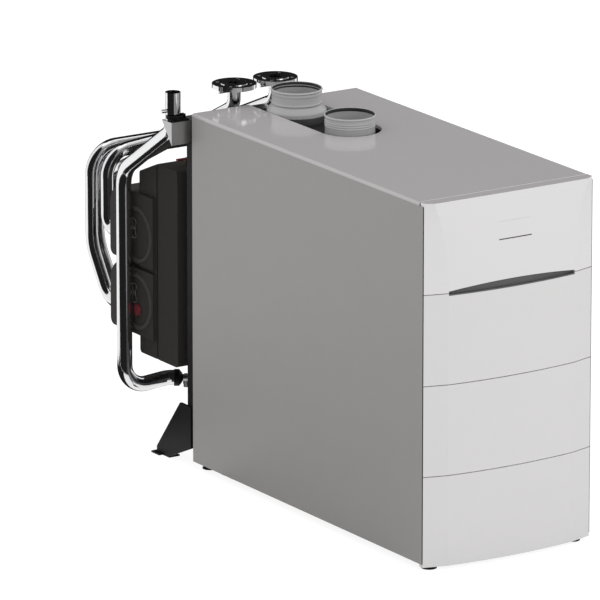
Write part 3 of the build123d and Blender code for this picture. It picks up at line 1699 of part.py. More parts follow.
# Pump groups: manifold on the wall, volute with motor, and the ports
manifold_wall = 18
manifold_low = 43
manifold_end = 172
for name, runner_name, pod in (
    ("upper_pump_body", "upper_pump_runner", pods[0]),
    ("lower_pump_body", "lower_pump_runner", pods[1]),
):
    low, high, pump_up, start_in, other_in, other_up = pod
    shaft_x = left + start_in
    with BuildPart() as pump_body:
        span(
            (left - pod_out + pod_wall, left + manifold_end),
            (rear + hollow_far + port_wall, rear + hollow_far + port_wall + manifold_wall),
            (bottom + pump_up - manifold_low, bottom + other_up + boss_radius_out),
        )
        rod(at_rear(start_in, pump_centre_back, pump_up), (1, 0, 0), volute_radius, volute_length)
        rod(
            at_rear(start_in + volute_length, pump_centre_back, pump_up),
            (1, 0, 0),
            motor_can_radius,
            manifold_end - start_in - volute_length,
        )
        rod(
            at_rear(start_in + volute_length / 2, hollow_far + port_wall, pump_up),
            (0, 1, 0),
            boss_radius_out - fit,
            tube_end - hollow_far - port_wall,
        )
        rod(
            at_rear(other_in, hollow_far + port_wall, other_up),
            (0, 1, 0),
            boss_radius_out,
            tube_end - hollow_far - port_wall,
        )
        for inward in (flow_drop_in, second_port_in):
            rod(at_rear(inward, hollow_far, pump_up), (0, 1, 0), port_radius_out, port_wall + manifold_wall)
        if name == "lower_pump_body":
            knob_boss_at = at_rear(pod_wall - pod_out + fit, knob_back, knob_up)
            rod(knob_boss_at, (1, 0, 0), knob_boss, knob_boss_length)
            rod(knob_boss_at, (1, 0, 0), knob_stem + pin_fit, knob_boss, mode=Mode.SUBTRACT)
        rod(
            at_rear(start_in + volute_wall, pump_centre_back, pump_up),
            (1, 0, 0),
            volute_radius - volute_wall,
            volute_length - 2 * volute_wall,
            mode=Mode.SUBTRACT,
        )
        rod(
            at_rear(start_in + volute_length - 2 * volute_wall, pump_centre_back, pump_up),
            (1, 0, 0),
            pump_shaft + pump_shaft_fit,
            volute_length / 2 + 2 * volute_wall,
            mode=Mode.SUBTRACT,
        )
    pump_body.part.label = name
    export_step(pump_body.part, f"parts/{name}.step")
    with BuildPart() as pump_runner:
        vane_near = start_in + volute_wall + runner_side
        vane_length = volute_length - 2 * volute_wall - 2 * runner_side
        rod(
            at_rear(vane_near, pump_centre_back, pump_up),
            (1, 0, 0),
            volute_radius - volute_wall - 2 * runner_side,
            blade_wall,
        )
        rod(at_rear(vane_near, pump_centre_back, pump_up), (1, 0, 0), 2 * pump_shaft, vane_length)
        rod(
            at_rear(vane_near, pump_centre_back, pump_up),
            (1, 0, 0),
            pump_shaft,
            vane_length + volute_length / 2,
        )
        with BuildSketch(
            Plane(origin=at_rear(vane_near, pump_centre_back, pump_up), x_dir=(0, 1, 0), z_dir=(1, 0, 0))
        ):
            with PolarLocations((volute_radius - volute_wall) / 2, blade_count // 2):
                Rectangle(volute_radius - volute_wall - 4 * runner_side, blade_wall)
        extrude(amount=vane_length)
    pump_runner.part.label = runner_name
    export_step(pump_runner.part, f"parts/{runner_name}.step")

# Shut-off knob on the lower pod, its stem reaching the supply port
knob_radius_out = 21
knob_thick = 10
knob_gap = 1
grip_half = 4
with BuildPart() as shutoff_knob:
    knob_face = left - pod_out - knob_gap
    rod((knob_face, rear + knob_back, bottom + knob_up), (-1, 0, 0), knob_radius_out, knob_thick / 2)
    span(
        (knob_face - knob_thick, knob_face),
        (rear + knob_back - grip_half, rear + knob_back + grip_half),
        (bottom + knob_up - knob_radius_out, bottom + knob_up + knob_radius_out),
    )
    rod(
        (knob_face, rear + knob_back, bottom + knob_up),
        (1, 0, 0),
        knob_stem,
        pod_wall + knob_gap + knob_boss - fit,
    )
shutoff_knob.part.label = "shutoff_knob"
export_step(shutoff_knob.part, "parts/shutoff_knob.step")

# Spring clips across the pods' parting line
clip_near = 352
clip_far = 404
clip_wall = 2.5
clip_half = 36
clip_ups = (808, 560)
with BuildPart() as shell_clips:
    for up in clip_ups:
        span(
            (pod_x[0] - clip_wall, pod_x[0]),
            (rear + clip_near, rear + clip_far),
            (bottom + up - clip_half, bottom + up + clip_half),
        )
        span(
            (pod_x[0] - 2 * clip_wall, pod_x[0] - clip_wall),
            (rear + clip_near + clip_wall, rear + pod_split - 4 * clip_wall),
            (bottom + up - clip_half / 2, bottom + up + clip_half / 2),
        )
shell_clips.part.label = "shell_clips"
export_step(shell_clips.part, "parts/shell_clips.step")

# Purge valve through the top of the block, with its red lever
purge_top = bottom + block_top + purge_rise
purge_stem = 3
purge_stem_rise = 10
purge_length = purge_top - plate_z[1]
with BuildPart() as purge_valve:
    rod(at_rear(purge_in, purge_back, plate_z[1] - bottom), (0, 0, 1), purge_radius, purge_length)
    rod(at_rear(purge_in, purge_back, purge_top - bottom), (0, 0, 1), purge_stem, purge_stem_rise)
purge_valve.part.label = "purge_valve"
export_step(purge_valve.part, "parts/purge_valve.step")

purge_lever_length = 46
purge_lever_wall = 6
with BuildPart() as purge_lever:
    lever_z = purge_top + fit
    with BuildSketch(Plane.XY.offset(lever_z)):
        with Locations((left + purge_in, rear + purge_back)):
            Circle(lever_hub)
            with Locations((-purge_lever_length / 2, 0)):
                Rectangle(purge_lever_length, lever_width)
            Circle(purge_stem + pin_fit / 2, mode=Mode.SUBTRACT)
    extrude(amount=purge_lever_wall)
purge_lever.part.label = "purge_lever"
export_step(purge_lever.part, "parts/purge_lever.step")
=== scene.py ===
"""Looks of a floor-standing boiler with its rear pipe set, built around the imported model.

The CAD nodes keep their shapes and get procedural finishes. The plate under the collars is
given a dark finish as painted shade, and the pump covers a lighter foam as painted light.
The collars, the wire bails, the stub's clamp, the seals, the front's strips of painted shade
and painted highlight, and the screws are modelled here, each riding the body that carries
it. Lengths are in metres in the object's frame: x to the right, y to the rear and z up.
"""

from __future__ import annotations

import json
import logging
import math
from abc import ABC, abstractmethod
from dataclasses import dataclass
from enum import Enum

import bmesh
import bpy
from mathutils import Matrix, Vector


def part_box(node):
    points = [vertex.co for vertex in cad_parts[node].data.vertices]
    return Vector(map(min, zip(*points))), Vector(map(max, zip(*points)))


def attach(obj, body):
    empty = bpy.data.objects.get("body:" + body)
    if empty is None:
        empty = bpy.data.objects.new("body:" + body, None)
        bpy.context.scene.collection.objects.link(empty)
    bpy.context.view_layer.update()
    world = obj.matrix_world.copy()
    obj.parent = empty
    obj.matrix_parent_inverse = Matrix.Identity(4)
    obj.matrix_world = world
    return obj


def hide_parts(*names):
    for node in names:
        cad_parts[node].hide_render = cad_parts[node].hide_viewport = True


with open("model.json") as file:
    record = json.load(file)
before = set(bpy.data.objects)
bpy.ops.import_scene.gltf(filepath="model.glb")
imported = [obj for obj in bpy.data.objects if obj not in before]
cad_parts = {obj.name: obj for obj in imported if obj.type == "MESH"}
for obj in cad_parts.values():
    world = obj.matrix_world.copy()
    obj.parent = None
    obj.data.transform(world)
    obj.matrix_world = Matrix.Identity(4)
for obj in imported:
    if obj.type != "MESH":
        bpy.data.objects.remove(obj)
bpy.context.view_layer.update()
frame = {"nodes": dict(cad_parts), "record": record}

log = logging.getLogger("boiler")

Colour = tuple[float, float, float]
Rgba = tuple[float, float, float, float]
Point = tuple[float, float, float]
Pair = tuple[float, float]
Section = tuple[Pair, ...]
Shape = bmesh.types.BMesh
Tree = bpy.types.NodeTree
Socket = bpy.types.NodeSocket

UP: Point = (0.0, 0.0, 1.0)
LEFTWARDS: Point = (-1.0, 0.0, 0.0)
FORWARDS: Point = (0.0, -1.0, 0.0)
REARWARDS: Point = (0.0, 1.0, 0.0)
WHITE: Rgba = (1.0, 1.0, 1.0, 1.0)
MERGE_DISTANCE = 1e-6


def linear(colour: Colour) -> Rgba:
    """Convert a display colour to the linear value that a shader takes.

    Args:
        colour: Red, green and blue from 0 to 1, as they look on a screen.

    Returns:
        The linear colour with full alpha.
    """
    def channel(value: float) -> float:
        """Convert one channel by the screen's standard curve."""
        return value / 12.92 if value <= 0.04045 else ((value + 0.055) / 1.055) ** 2.4

    return (*(channel(value) for value in colour), 1.0)


def shaded(colour: Rgba, factor: float) -> Rgba:
    """Scale a linear colour's channels by a factor, up to white at most."""
    return (*(min(1.0, channel * factor) for channel in colour[:3]), 1.0)


def moved(point: Point, by: Point) -> Point:
    """Shift a point by a step along each axis."""
    return (point[0] + by[0], point[1] + by[1], point[2] + by[2])


def as_object(shape: Shape, name: str) -> bpy.types.Object:
    """Turn a finished bmesh into an object at the origin, and free the bmesh.

    Args:
        shape: The bmesh, with its place in its own coordinates.
        name: The object's name.

    Returns:
        The new object, linked to the scene.
    """
    mesh = bpy.data.meshes.new(name)
    shape.to_mesh(mesh)
    shape.free()
    made = bpy.data.objects.new(name, mesh)
    bpy.context.scene.collection.objects.link(made)
    return made


def turned(
    section: Section, centre: Point, axis: Point, steps: int, closed: bool = True
) -> Shape:
    """Turn a section about an axis into a ring, a socket or a screw.

    Args:
        section: Radius and height of each point, the height along the axis.
        centre: Where the axis stands at height zero.
        axis: The axis's direction.
        steps: Faces round the shape.
        closed: True where the section is a loop, False where its ends are on the axis.

    Returns:
        The turned shape.
    """
    shape = bmesh.new()
    points = [shape.verts.new((radius, 0.0, height)) for radius, height in section]
    pairs = list(zip(points, points[1:])) + ([(points[-1], points[0])] if closed else [])
    edges = [shape.edges.new(pair) for pair in pairs]
    bmesh.ops.spin(
        shape, geom=[*points, *edges], cent=(0, 0, 0), axis=UP, angle=math.tau, steps=steps,
        use_merge=True,
    )
    bmesh.ops.remove_doubles(shape, verts=shape.verts, dist=MERGE_DISTANCE)
    bmesh.ops.recalc_face_normals(shape, faces=shape.faces)
    turn = Vector(UP).rotation_difference(Vector(axis)).to_matrix().to_4x4()
    bmesh.ops.transform(shape, matrix=Matrix.Translation(centre) @ turn, verts=shape.verts)
    return shape


def block(low: Point, high: Point, edge: float, segments: int = 2) -> Shape:
    """Make a block between two corners with rounded edges.

    Args:
        low: Lowest corner.
        high: Highest corner.
        edge: Radius of the edges.
        segments: Faces across each rounded edge.

    Returns:
        The block.
    """
    shape = bmesh.new()
    bmesh.ops.create_cube(shape, size=1.0)
    size, middle = Vector(high) - Vector(low), (Vector(high) + Vector(low)) / 2
    bmesh.ops.scale(shape, vec=size, verts=shape.verts)
    bmesh.ops.translate(shape, vec=middle, verts=shape.verts)
    bmesh.ops.bevel(
        shape, geom=list(shape.edges), offset=edge, affect="EDGES", segments=segments,
        profile=0.5, material=-1, clamp_overlap=True,
    )
    return shape


def wire_loop(points: list[Point], radius: float, resolution: int = 3) -> Shape:
    """Sweep a round wire along a smooth closed line through some points.

    Args:
        points: The line's points.
        radius: Radius of the wire.
        resolution: Bevel resolution of the wire's round section.

    Returns:
        The wire as a mesh.
    """
    line = bpy.data.curves.new("wire", "CURVE")
    line.dimensions = "3D"
    line.bevel_depth = radius
    line.bevel_resolution = resolution
    spline = line.splines.new("BEZIER")
    spline.bezier_points.add(len(points) - 1)
    for spot, point in zip(spline.bezier_points, points):
        spot.co = point
        spot.handle_left_type = spot.handle_right_type = "AUTO"
    spline.use_cyclic_u = True
    holder = bpy.data.objects.new("wire", line)
    mesh = bpy.data.meshes.new_from_object(holder)
    shape = bmesh.new()
    shape.from_mesh(mesh)
    bpy.data.objects.remove(holder)
    bpy.data.curves.remove(line)
    bpy.data.meshes.remove(mesh)
    return shape


def joined(shapes: list[Shape]) -> Shape:
    """Put several shapes into one bmesh, and free the others.

    Args:
        shapes: The shapes, which can't be used afterwards.

    Returns:
        One bmesh that holds them all.
    """
    whole = bmesh.new()
    for shape in shapes:
        part = bpy.data.meshes.new("part")
        shape.to_mesh(part)
        shape.free()
        whole.from_mesh(part)
        bpy.data.meshes.remove(part)
    return whole


class Grain(Enum):
    """The kind of relief that a finish has."""

    ORANGE_PEEL = "orange_peel"
    FOAM = "foam"
    CAST = "cast"
    MOULDED = "moulded"
    DRAWN = "drawn"
    SPANGLE = "spangle"
    TURNED = "turned"


# Octaves of the noise that makes a grain's relief. Foam and spangle are made of cells instead.
NOISE_OCTAVES: dict[Grain, float] = {
    Grain.ORANGE_PEEL: 2.0,
    Grain.CAST: 6.0,
    Grain.MOULDED: 3.0,
    Grain.DRAWN: 3.0,
    Grain.TURNED: 3.0,
}

# Share of a foam cell that its seam takes up.
FOAM_EDGE = 0.22

# Features per metre and octaves of the drift in colour and of the smudges in roughness.
DRIFT_SCALE, DRIFT_OCTAVES = 6.0, 4.0
SMUDGE_SCALE, SMUDGE_OCTAVES = 18.6, 5.0

SMOOTHEST = 0.02
COAT_ROUGHNESS = 0.12

# Sockets of the Mix node when it mixes colours, where several share one name.
MIX_DARK, MIX_LIGHT, MIX_RESULT = 6, 7, 2


@dataclass(frozen=True)
class Finish:
    """One surface finish, made as a procedural material.

    The colour is the one it shows on a screen under plain light. Scale is the relief's
    features per metre and depth its height. Mottle and rough_spread are how far the colour
    and the roughness drift over the surface, and cell is how much darker the foam's seams are.
    """

    name: str
    colour: Colour
    roughness: float
    grain: Grain
    scale: float
    depth: float
    metallic: float = 0.0
    mottle: float = 0.03
    coat: float = 0.0
    gloss: float = 0.5
    rough_spread: float = 0.06
    cell: float = 0.0

    def material(self) -> bpy.types.Material:
        """Return the finish's material, made on first use under a name of the script's own.

        Returns:
            The material, whose name differs from those that the frame brings along.
        """
        name = f"{self.name}_finish"
        found = bpy.data.materials.get(name)
        return found if found else self._build(name)

    def _build(self, name: str) -> bpy.types.Material:
        """Build the node tree: constants, colour, roughness and relief.

        Args:
            name: The material's name.

        Returns:
            The new material.
        """
        material = bpy.data.materials.new(name)
        material.use_nodes = True
        tree = material.node_tree
        shader = tree.nodes["Principled BSDF"]
        shader.inputs["Metallic"].default_value = self.metallic
        shader.inputs["Coat Weight"].default_value = self.coat
        shader.inputs["Coat Roughness"].default_value = COAT_ROUGHNESS
        shader.inputs["Specular IOR Level"].default_value = self.gloss
        place = tree.nodes.new("ShaderNodeTexCoord").outputs["Object"]
        relief = self._relief(tree, place)
        tree.links.new(self._tint(tree, place, relief), shader.inputs["Base Color"])
        tree.links.new(self._sheen(tree, place), shader.inputs["Roughness"])
        bump = tree.nodes.new("ShaderNodeBump")
        bump.inputs["Distance"].default_value = self.depth
        bump.inputs["Strength"].default_value = 1.0
        tree.links.new(relief, bump.inputs["Height"])
        tree.links.new(bump.outputs["Normal"], shader.inputs["Normal"])
        return material

    def _tint(self, tree: Tree, place: Socket, relief: Socket) -> Socket:
        """Let the colour drift a little, and darken the seams between foam cells.

        Args:
            tree: The material's node tree.
            place: The coordinates that the drift is read at.
            relief: The relief's height, low at the seams.

        Returns:
            The colour's socket.
        """
        base = linear(self.colour)
        drift = self._noise(tree, place, DRIFT_SCALE, DRIFT_OCTAVES)
        dark, light = shaded(base, 1.0 - self.mottle), shaded(base, 1.0 + self.mottle)
        tint = self._mix(tree, drift, dark, light)
        return self._mix(tree, relief, shaded(base, 1.0 - self.cell), tint) if self.cell else tint

    def _sheen(self, tree: Tree, place: Socket) -> Socket:
        """Let the roughness drift about the finish's own value.

        Args:
            tree: The material's node tree.
            place: The coordinates that the drift is read at.

        Returns:
            The roughness's socket.
        """
        spread = tree.nodes.new("ShaderNodeMapRange")
        spread.inputs["To Min"].default_value = max(SMOOTHEST, self.roughness - self.rough_spread)
        spread.inputs["To Max"].default_value = min(1.0, self.roughness + self.rough_spread)
        smudge = self._noise(tree, place, SMUDGE_SCALE, SMUDGE_OCTAVES)
        tree.links.new(smudge, spread.inputs["Value"])
        return spread.outputs["Result"]

    def _relief(self, tree: Tree, place: Socket) -> Socket:
        """Add the relief that this finish's grain has.

        Args:
            tree: The material's node tree.
            place: The coordinates that the relief is read at.

        Returns:
            The socket of the relief's height, from 0 to 1.
        """
        if self.grain in NOISE_OCTAVES:
            return self._noise(tree, place, self.scale, NOISE_OCTAVES[self.grain])
        foam = self.grain is Grain.FOAM
        cells = tree.nodes.new("ShaderNodeTexVoronoi")
        cells.inputs["Scale"].default_value = self.scale
        cells.feature = "DISTANCE_TO_EDGE" if foam else "F1"
        tree.links.new(place, cells.inputs["Vector"])
        ramp = tree.nodes.new("ShaderNodeMapRange")
        ramp.inputs["From Max"].default_value = FOAM_EDGE if foam else 1.0
        tree.links.new(cells.outputs["Distance" if foam else "Color"], ramp.inputs["Value"])
        return ramp.outputs["Result"]

    @staticmethod
    def _noise(tree: Tree, place: Socket, scale: float, octaves: float) -> Socket:
        """Add a noise texture over the object's place.

        Args:
            tree: The material's node tree.
            place: The coordinates that the noise is read at.
            scale: Features per metre.
            octaves: The noise's detail.

        Returns:
            The noise's value socket.
        """
        noise = tree.nodes.new("ShaderNodeTexNoise")
        noise.inputs["Scale"].default_value = scale
        noise.inputs["Detail"].default_value = octaves
        tree.links.new(place, noise.inputs["Vector"])
        return noise.outputs["Fac"]

    @staticmethod
    def _mix(tree: Tree, factor: Socket, dark: Rgba, light: Rgba | Socket) -> Socket:
        """Blend two colours by a factor.

        Args:
            tree: The material's node tree.
            factor: The socket that blends them.
            dark: The colour where the factor is 0.
            light: The colour where the factor is 1, or the socket that gives it.

        Returns:
            The blended colour's socket.
        """
        mix = tree.nodes.new("ShaderNodeMix")
        mix.data_type = "RGBA"
        tree.links.new(factor, mix.inputs["Factor"])
        mix.inputs[MIX_DARK].default_value = dark
        if isinstance(light, Socket):
            tree.links.new(light, mix.inputs[MIX_LIGHT])
        else:
            mix.inputs[MIX_LIGHT].default_value = light
        return mix.outputs[MIX_RESULT]


FINISHES: dict[str, Finish] = {finish.name: finish for finish in (
    Finish(
        "side_grey", (0.615, 0.607, 0.602), 0.42, Grain.ORANGE_PEEL, 900.0, 0.00006,
        mottle=0.015, gloss=0.22,
    ),
    Finish(
        "lid_grey", (0.73, 0.718, 0.723), 0.09, Grain.ORANGE_PEEL, 900.0, 0.00001,
        mottle=0.015, gloss=0.45, rough_spread=0.02,
    ),
    Finish(
        "front_light", (0.865, 0.86, 0.86), 0.40, Grain.ORANGE_PEEL, 900.0, 0.00005,
        mottle=0.01, gloss=0.25,
    ),
    Finish(
        "cover_light", (0.885, 0.88, 0.88), 0.34, Grain.MOULDED, 1100.0, 0.00004,
        mottle=0.01, gloss=0.3,
    ),
    Finish(
        "collar_grey", (0.72, 0.72, 0.72), 0.34, Grain.ORANGE_PEEL, 900.0, 0.00005,
        mottle=0.015, gloss=0.35,
    ),
    Finish("dark_trim", (0.29, 0.29, 0.295), 0.45, Grain.MOULDED, 1400.0, 0.0001, gloss=0.35),
    Finish("recess_grey", (0.42, 0.42, 0.425), 0.4, Grain.MOULDED, 1400.0, 0.0001, gloss=0.35),
    # Dark grey for the plate in the pocket under the collars: painted shade, standing in for the
    # plate's galvanised finish.
    Finish("painted_shade_dark", (0.15, 0.15, 0.152), 0.45, Grain.MOULDED, 1400.0, 0.0001, gloss=0.2),
    Finish("frame_steel", (0.40, 0.41, 0.42), 0.45, Grain.ORANGE_PEEL, 700.0, 0.0001),
    Finish("galvanised", (0.66, 0.67, 0.68), 0.36, Grain.SPANGLE, 70.0, 0.00004, metallic=0.8),
    Finish("plated_steel", (0.74, 0.74, 0.74), 0.32, Grain.DRAWN, 500.0, 0.00004, metallic=0.9),
    Finish(
        "polished_tube", (0.90, 0.90, 0.905), 0.11, Grain.DRAWN, 420.0, 0.00003,
        metallic=1.0, rough_spread=0.04,
    ),
    Finish(
        "black_foam", (0.235, 0.227, 0.22), 0.85, Grain.FOAM, 260.0, 0.0004,
        cell=0.3, gloss=0.1,
    ),
    # A lighter copy of the shells' black foam for the pump covers and their rings: painted light
    # where their faces catch the light.
    Finish(
        "painted_light_foam", (0.285, 0.275, 0.27), 0.8, Grain.FOAM, 260.0, 0.0004, cell=0.3, gloss=0.12
    ),
    Finish(
        "black_paint", (0.085, 0.085, 0.09), 0.5, Grain.ORANGE_PEEL, 800.0, 0.0001, gloss=0.15
    ),
    Finish("cast_alloy", (0.60, 0.60, 0.59), 0.55, Grain.CAST, 420.0, 0.0004, metallic=0.7),
    Finish("cast_pump", (0.24, 0.25, 0.27), 0.5, Grain.CAST, 420.0, 0.0004),
    Finish("brass", (0.76, 0.60, 0.33), 0.25, Grain.TURNED, 600.0, 0.00004, metallic=1.0),
    Finish("seal_rubber", (0.17, 0.17, 0.17), 0.6, Grain.MOULDED, 900.0, 0.0001),
    Finish("grey_plastic", (0.50, 0.51, 0.51), 0.45, Grain.MOULDED, 1300.0, 0.0001),
    Finish("white_plastic", (0.86, 0.86, 0.85), 0.35, Grain.MOULDED, 1200.0, 0.00006),
    Finish("red_handle", (0.44, 0.17, 0.19), 0.35, Grain.MOULDED, 1200.0, 0.00008),
    Finish("board_green", (0.08, 0.27, 0.16), 0.4, Grain.MOULDED, 900.0, 0.00006),
    Finish("display_glass", (0.05, 0.06, 0.07), 0.08, Grain.MOULDED, 300.0, 0.00001, coat=0.6),
    Finish("yellow_pipe", (0.80, 0.62, 0.12), 0.4, Grain.ORANGE_PEEL, 800.0, 0.00008),
)}

# CAD nodes whose finish isn't the one that their slot names.
DRESSED_AS: dict[str, str] = {
    "handle_recess": "recess_grey",
    "drain_valve": "plated_steel",
    # The collars' plate is made dark as the shade in the pocket under the collars: painted shade.
    "collar_plate": "painted_shade_dark",
    # The pump covers get the lighter copy of the shells' foam: painted light.
    "upper_pump_cover": "painted_light_foam",
    "lower_pump_cover": "painted_light_foam",
}


def dress_nodes() -> None:
    """Give every CAD node its finish."""
    slots = {row["node"]: row["material_slot"] for row in frame["record"]["subparts"]}
    for name, node in frame["nodes"].items():
        finish = DRESSED_AS.get(name, slots[name])
        node.data.materials.clear()
        node.data.materials.append(FINISHES[finish].material())
        log.info("dressed %s as %s", name, finish)


class Assembly(ABC):
    """Base of the sub-assemblies: names, dresses and hangs their new pieces."""

    @abstractmethod
    def build(self) -> None:
        """Make the sub-assembly's pieces."""

    def add(
        self,
        shape: Shape,
        name: str,
        finish: str,
        replaces: tuple[str, ...] = (),
        sharp: float = 38.0,
        body: str = "casing",
    ) -> None:
        """Make a finished piece of a shape.

        Args:
            shape: The shape, in place.
            name: The piece's name.
            finish: The name of its finish.
            replaces: CAD nodes that it stands for.
            sharp: Angle in degrees from which an edge stays sharp.
            body: The body that it rides on.
        """
        piece = as_object(shape, name)
        for face in piece.data.polygons:
            face.use_smooth = True
        piece.data.set_sharp_from_angle(angle=math.radians(sharp))
        piece.data.materials.append(FINISHES[finish].material())
        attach(piece, body)
        if replaces:
            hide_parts(*replaces)
        log.info("built %s on %s in %s", name, body, finish)


@dataclass
class FrontSealsAndPaintedLight(Assembly):
    """The thin pieces of the front: the seals, and strips of painted shade and painted highlight.

    The dark line over the cover's groove and the grey strip on the cover's top are painted shade,
    and the light strip along the lid's front edge is a painted highlight. The line's corners are
    x and z, and the seals' are y and z beside each seal's own x. The painted highlight's are y
    from the strip's rear edge and z from the cover's top. Probe_start is where rays at the cover's
    face set out, and probe_drop how far below its top they go.
    """

    line_low: Pair = (-0.0215, 1.1822)
    line_high: Pair = (0.117, 1.1864)
    line_depth: float = 0.0016
    line_proud: float = 0.0004
    line_cuts: int = 12
    strip_inset: float = 0.0015
    strip_back: float = 0.0005
    strip_front: float = 0.0012
    strip_lift: float = 0.0002
    strip_thickness: float = 0.0008
    strip_cells: int = 48
    probe_start: float = -2.0
    probe_drop: float = 0.004
    highlight_low: Pair = (0.0022, -0.0006)
    highlight_high: Pair = (0.0046, 0.0008)
    highlight_edge: float = 0.0003
    left_seal: Pair = (-0.3157, -0.3133)
    right_seal: Pair = (0.4013, 0.4037)
    seal_low: Pair = (-1.1546, 0.028)
    seal_high: Pair = (-1.1521, 1.335)
    trim_edge: float = 0.0004

    def front_at(self, x: float, z: float) -> float:
        """Find where the control cover's outer face is at a place on the front.

        Args:
            x: The place across the front.
            z: The place's height.

        Returns:
            The face's y, or the cover's foremost y where nothing is hit.
        """
        cover = frame["nodes"]["control_cover"]
        hit, spot, _, _ = cover.ray_cast(Vector((x, self.probe_start, z)), Vector(REARWARDS))
        return spot.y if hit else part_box("control_cover")[0][1]

    def cover_groove_painted_shade(self) -> None:
        """Lay a thin dark line over the groove in the cover's bowed face: painted shade."""
        (x0, z0), (x1, z1) = self.line_low, self.line_high
        shape = block((x0, 0.0, z0), (x1, self.line_depth, z1), self.trim_edge, segments=1)
        half = (x1 - x0) / 2
        along = [edge for edge in shape.edges if edge.calc_length() > half]
        bmesh.ops.subdivide_edges(shape, edges=along, cuts=self.line_cuts, use_grid_fill=True)
        for vertex in shape.verts:
            vertex.co.y += self.front_at(vertex.co.x, (z0 + z1) / 2) - self.line_proud
        # A dark strip laid over the cover's groove: painted shade in the groove.
        self.add(shape, "cover_groove_painted_shade", "dark_trim", body="cover")

    def shade_cover_top(self) -> None:
        """Lay a grey strip on the cover's top from the lid's edge to its bowed front: painted
        shade.
        """
        shape = bmesh.new()
        bmesh.ops.create_grid(shape, x_segments=self.strip_cells, y_segments=1, size=0.5)
        low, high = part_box("control_cover")
        left, right, top = low[0] + self.strip_inset, high[0] - self.strip_inset, high[2]
        for vertex in shape.verts:
            front = vertex.co.y < 0.0
            vertex.co.x = left + (vertex.co.x + 0.5) * (right - left)
            vertex.co.y = high[1] - self.strip_back
            if front:
                vertex.co.y = self.front_at(vertex.co.x, top - self.probe_drop) + self.strip_front
            vertex.co.z = top + self.strip_lift
        bmesh.ops.recalc_face_normals(shape, faces=shape.faces)
        bmesh.ops.solidify(shape, geom=list(shape.faces), thickness=self.strip_thickness)
        bmesh.ops.recalc_face_normals(shape, faces=shape.faces)
        # The light cover's top is laid in the lid's grey so that it reads darker than its front:
        # painted shade.
        self.add(shape, "cover_top_painted_shade", "lid_grey", body="cover")

    def lid_edge_highlight(self) -> None:
        """Lay a light strip along the lid's front edge, behind the cover's top: a painted
        highlight.
        """
        low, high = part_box("control_cover")
        left, right = low[0] + self.strip_inset, high[0] - self.strip_inset
        back, top = high[1] - self.strip_back, high[2]
        (y0, z0), (y1, z1) = self.highlight_low, self.highlight_high
        shape = block(
            (left, back + y0, top + z0), (right, back + y1, top + z1), self.highlight_edge, segments=1
        )
        # A light strip that stands for the highlight on the lid's rounded front edge: painted
        # highlight.
        self.add(shape, "lid_edge_painted_highlight", "front_light")

    def edge_seals(self) -> None:
        """Run a dark seal down each side panel's front edge."""
        (y0, z0), (y1, z1) = self.seal_low, self.seal_high
        for name, (x0, x1) in (
            ("left_edge_seal", self.left_seal), ("right_edge_seal", self.right_seal)
        ):
            shape = block((x0, y0, z0), (x1, y1, z1), self.trim_edge, segments=1)
            self.add(shape, name, "seal_rubber")

    def build(self) -> None:
        """Make the painted shade on the cover, the painted highlight on the lid's edge and the
        seals.
        """
        self.cover_groove_painted_shade()
        self.shade_cover_top()
        self.lid_edge_highlight()
        self.edge_seals()


@dataclass
class RearScrews(Assembly):
    """The pan-head screws round the rear panel.

    The firsts are measured from the panel's left edge and from its lower edge. The head's
    section is radius and height from the panel's face.
    """

    inset: float = 0.015
    column_first: float = 0.06
    column_pitch: float = 0.19
    column_count: int = 7
    row_first: float = 0.12
    row_pitch: float = 0.145
    row_count: int = 4
    sides: int = 16
    head: Section = (
        (0.0, 0.0032), (0.0022, 0.0031), (0.0038, 0.0024), (0.0047, 0.0012), (0.005, 0.0),
        (0.005, -0.0005), (0.0, -0.0005),
    )

    def places(self) -> list[Pair]:
        """Set out the screws down both sides and along the top and bottom.

        Returns:
            The x and z of each screw.
        """
        low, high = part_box("rear_panel")
        left, right = low[0] + self.inset, high[0] - self.inset
        bottom, top = low[2] + self.inset, high[2] - self.inset
        ups = [
            low[2] + self.column_first + self.column_pitch * step
            for step in range(self.column_count)
        ]
        across = [
            low[0] + self.row_first + self.row_pitch * step for step in range(self.row_count)
        ]
        sides = [(x, z) for x in (left, right) for z in ups]
        return sides + [(x, z) for x in across for z in (bottom, top)]

    def build(self) -> None:
        """Turn a screw at each place."""
        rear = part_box("rear_panel")[1][1]
        screws = [
            turned(self.head, (x, rear, z), REARWARDS, self.sides, closed=False)
            for x, z in self.places()
        ]
        self.add(joined(screws), "rear_panel_screws", "plated_steel")


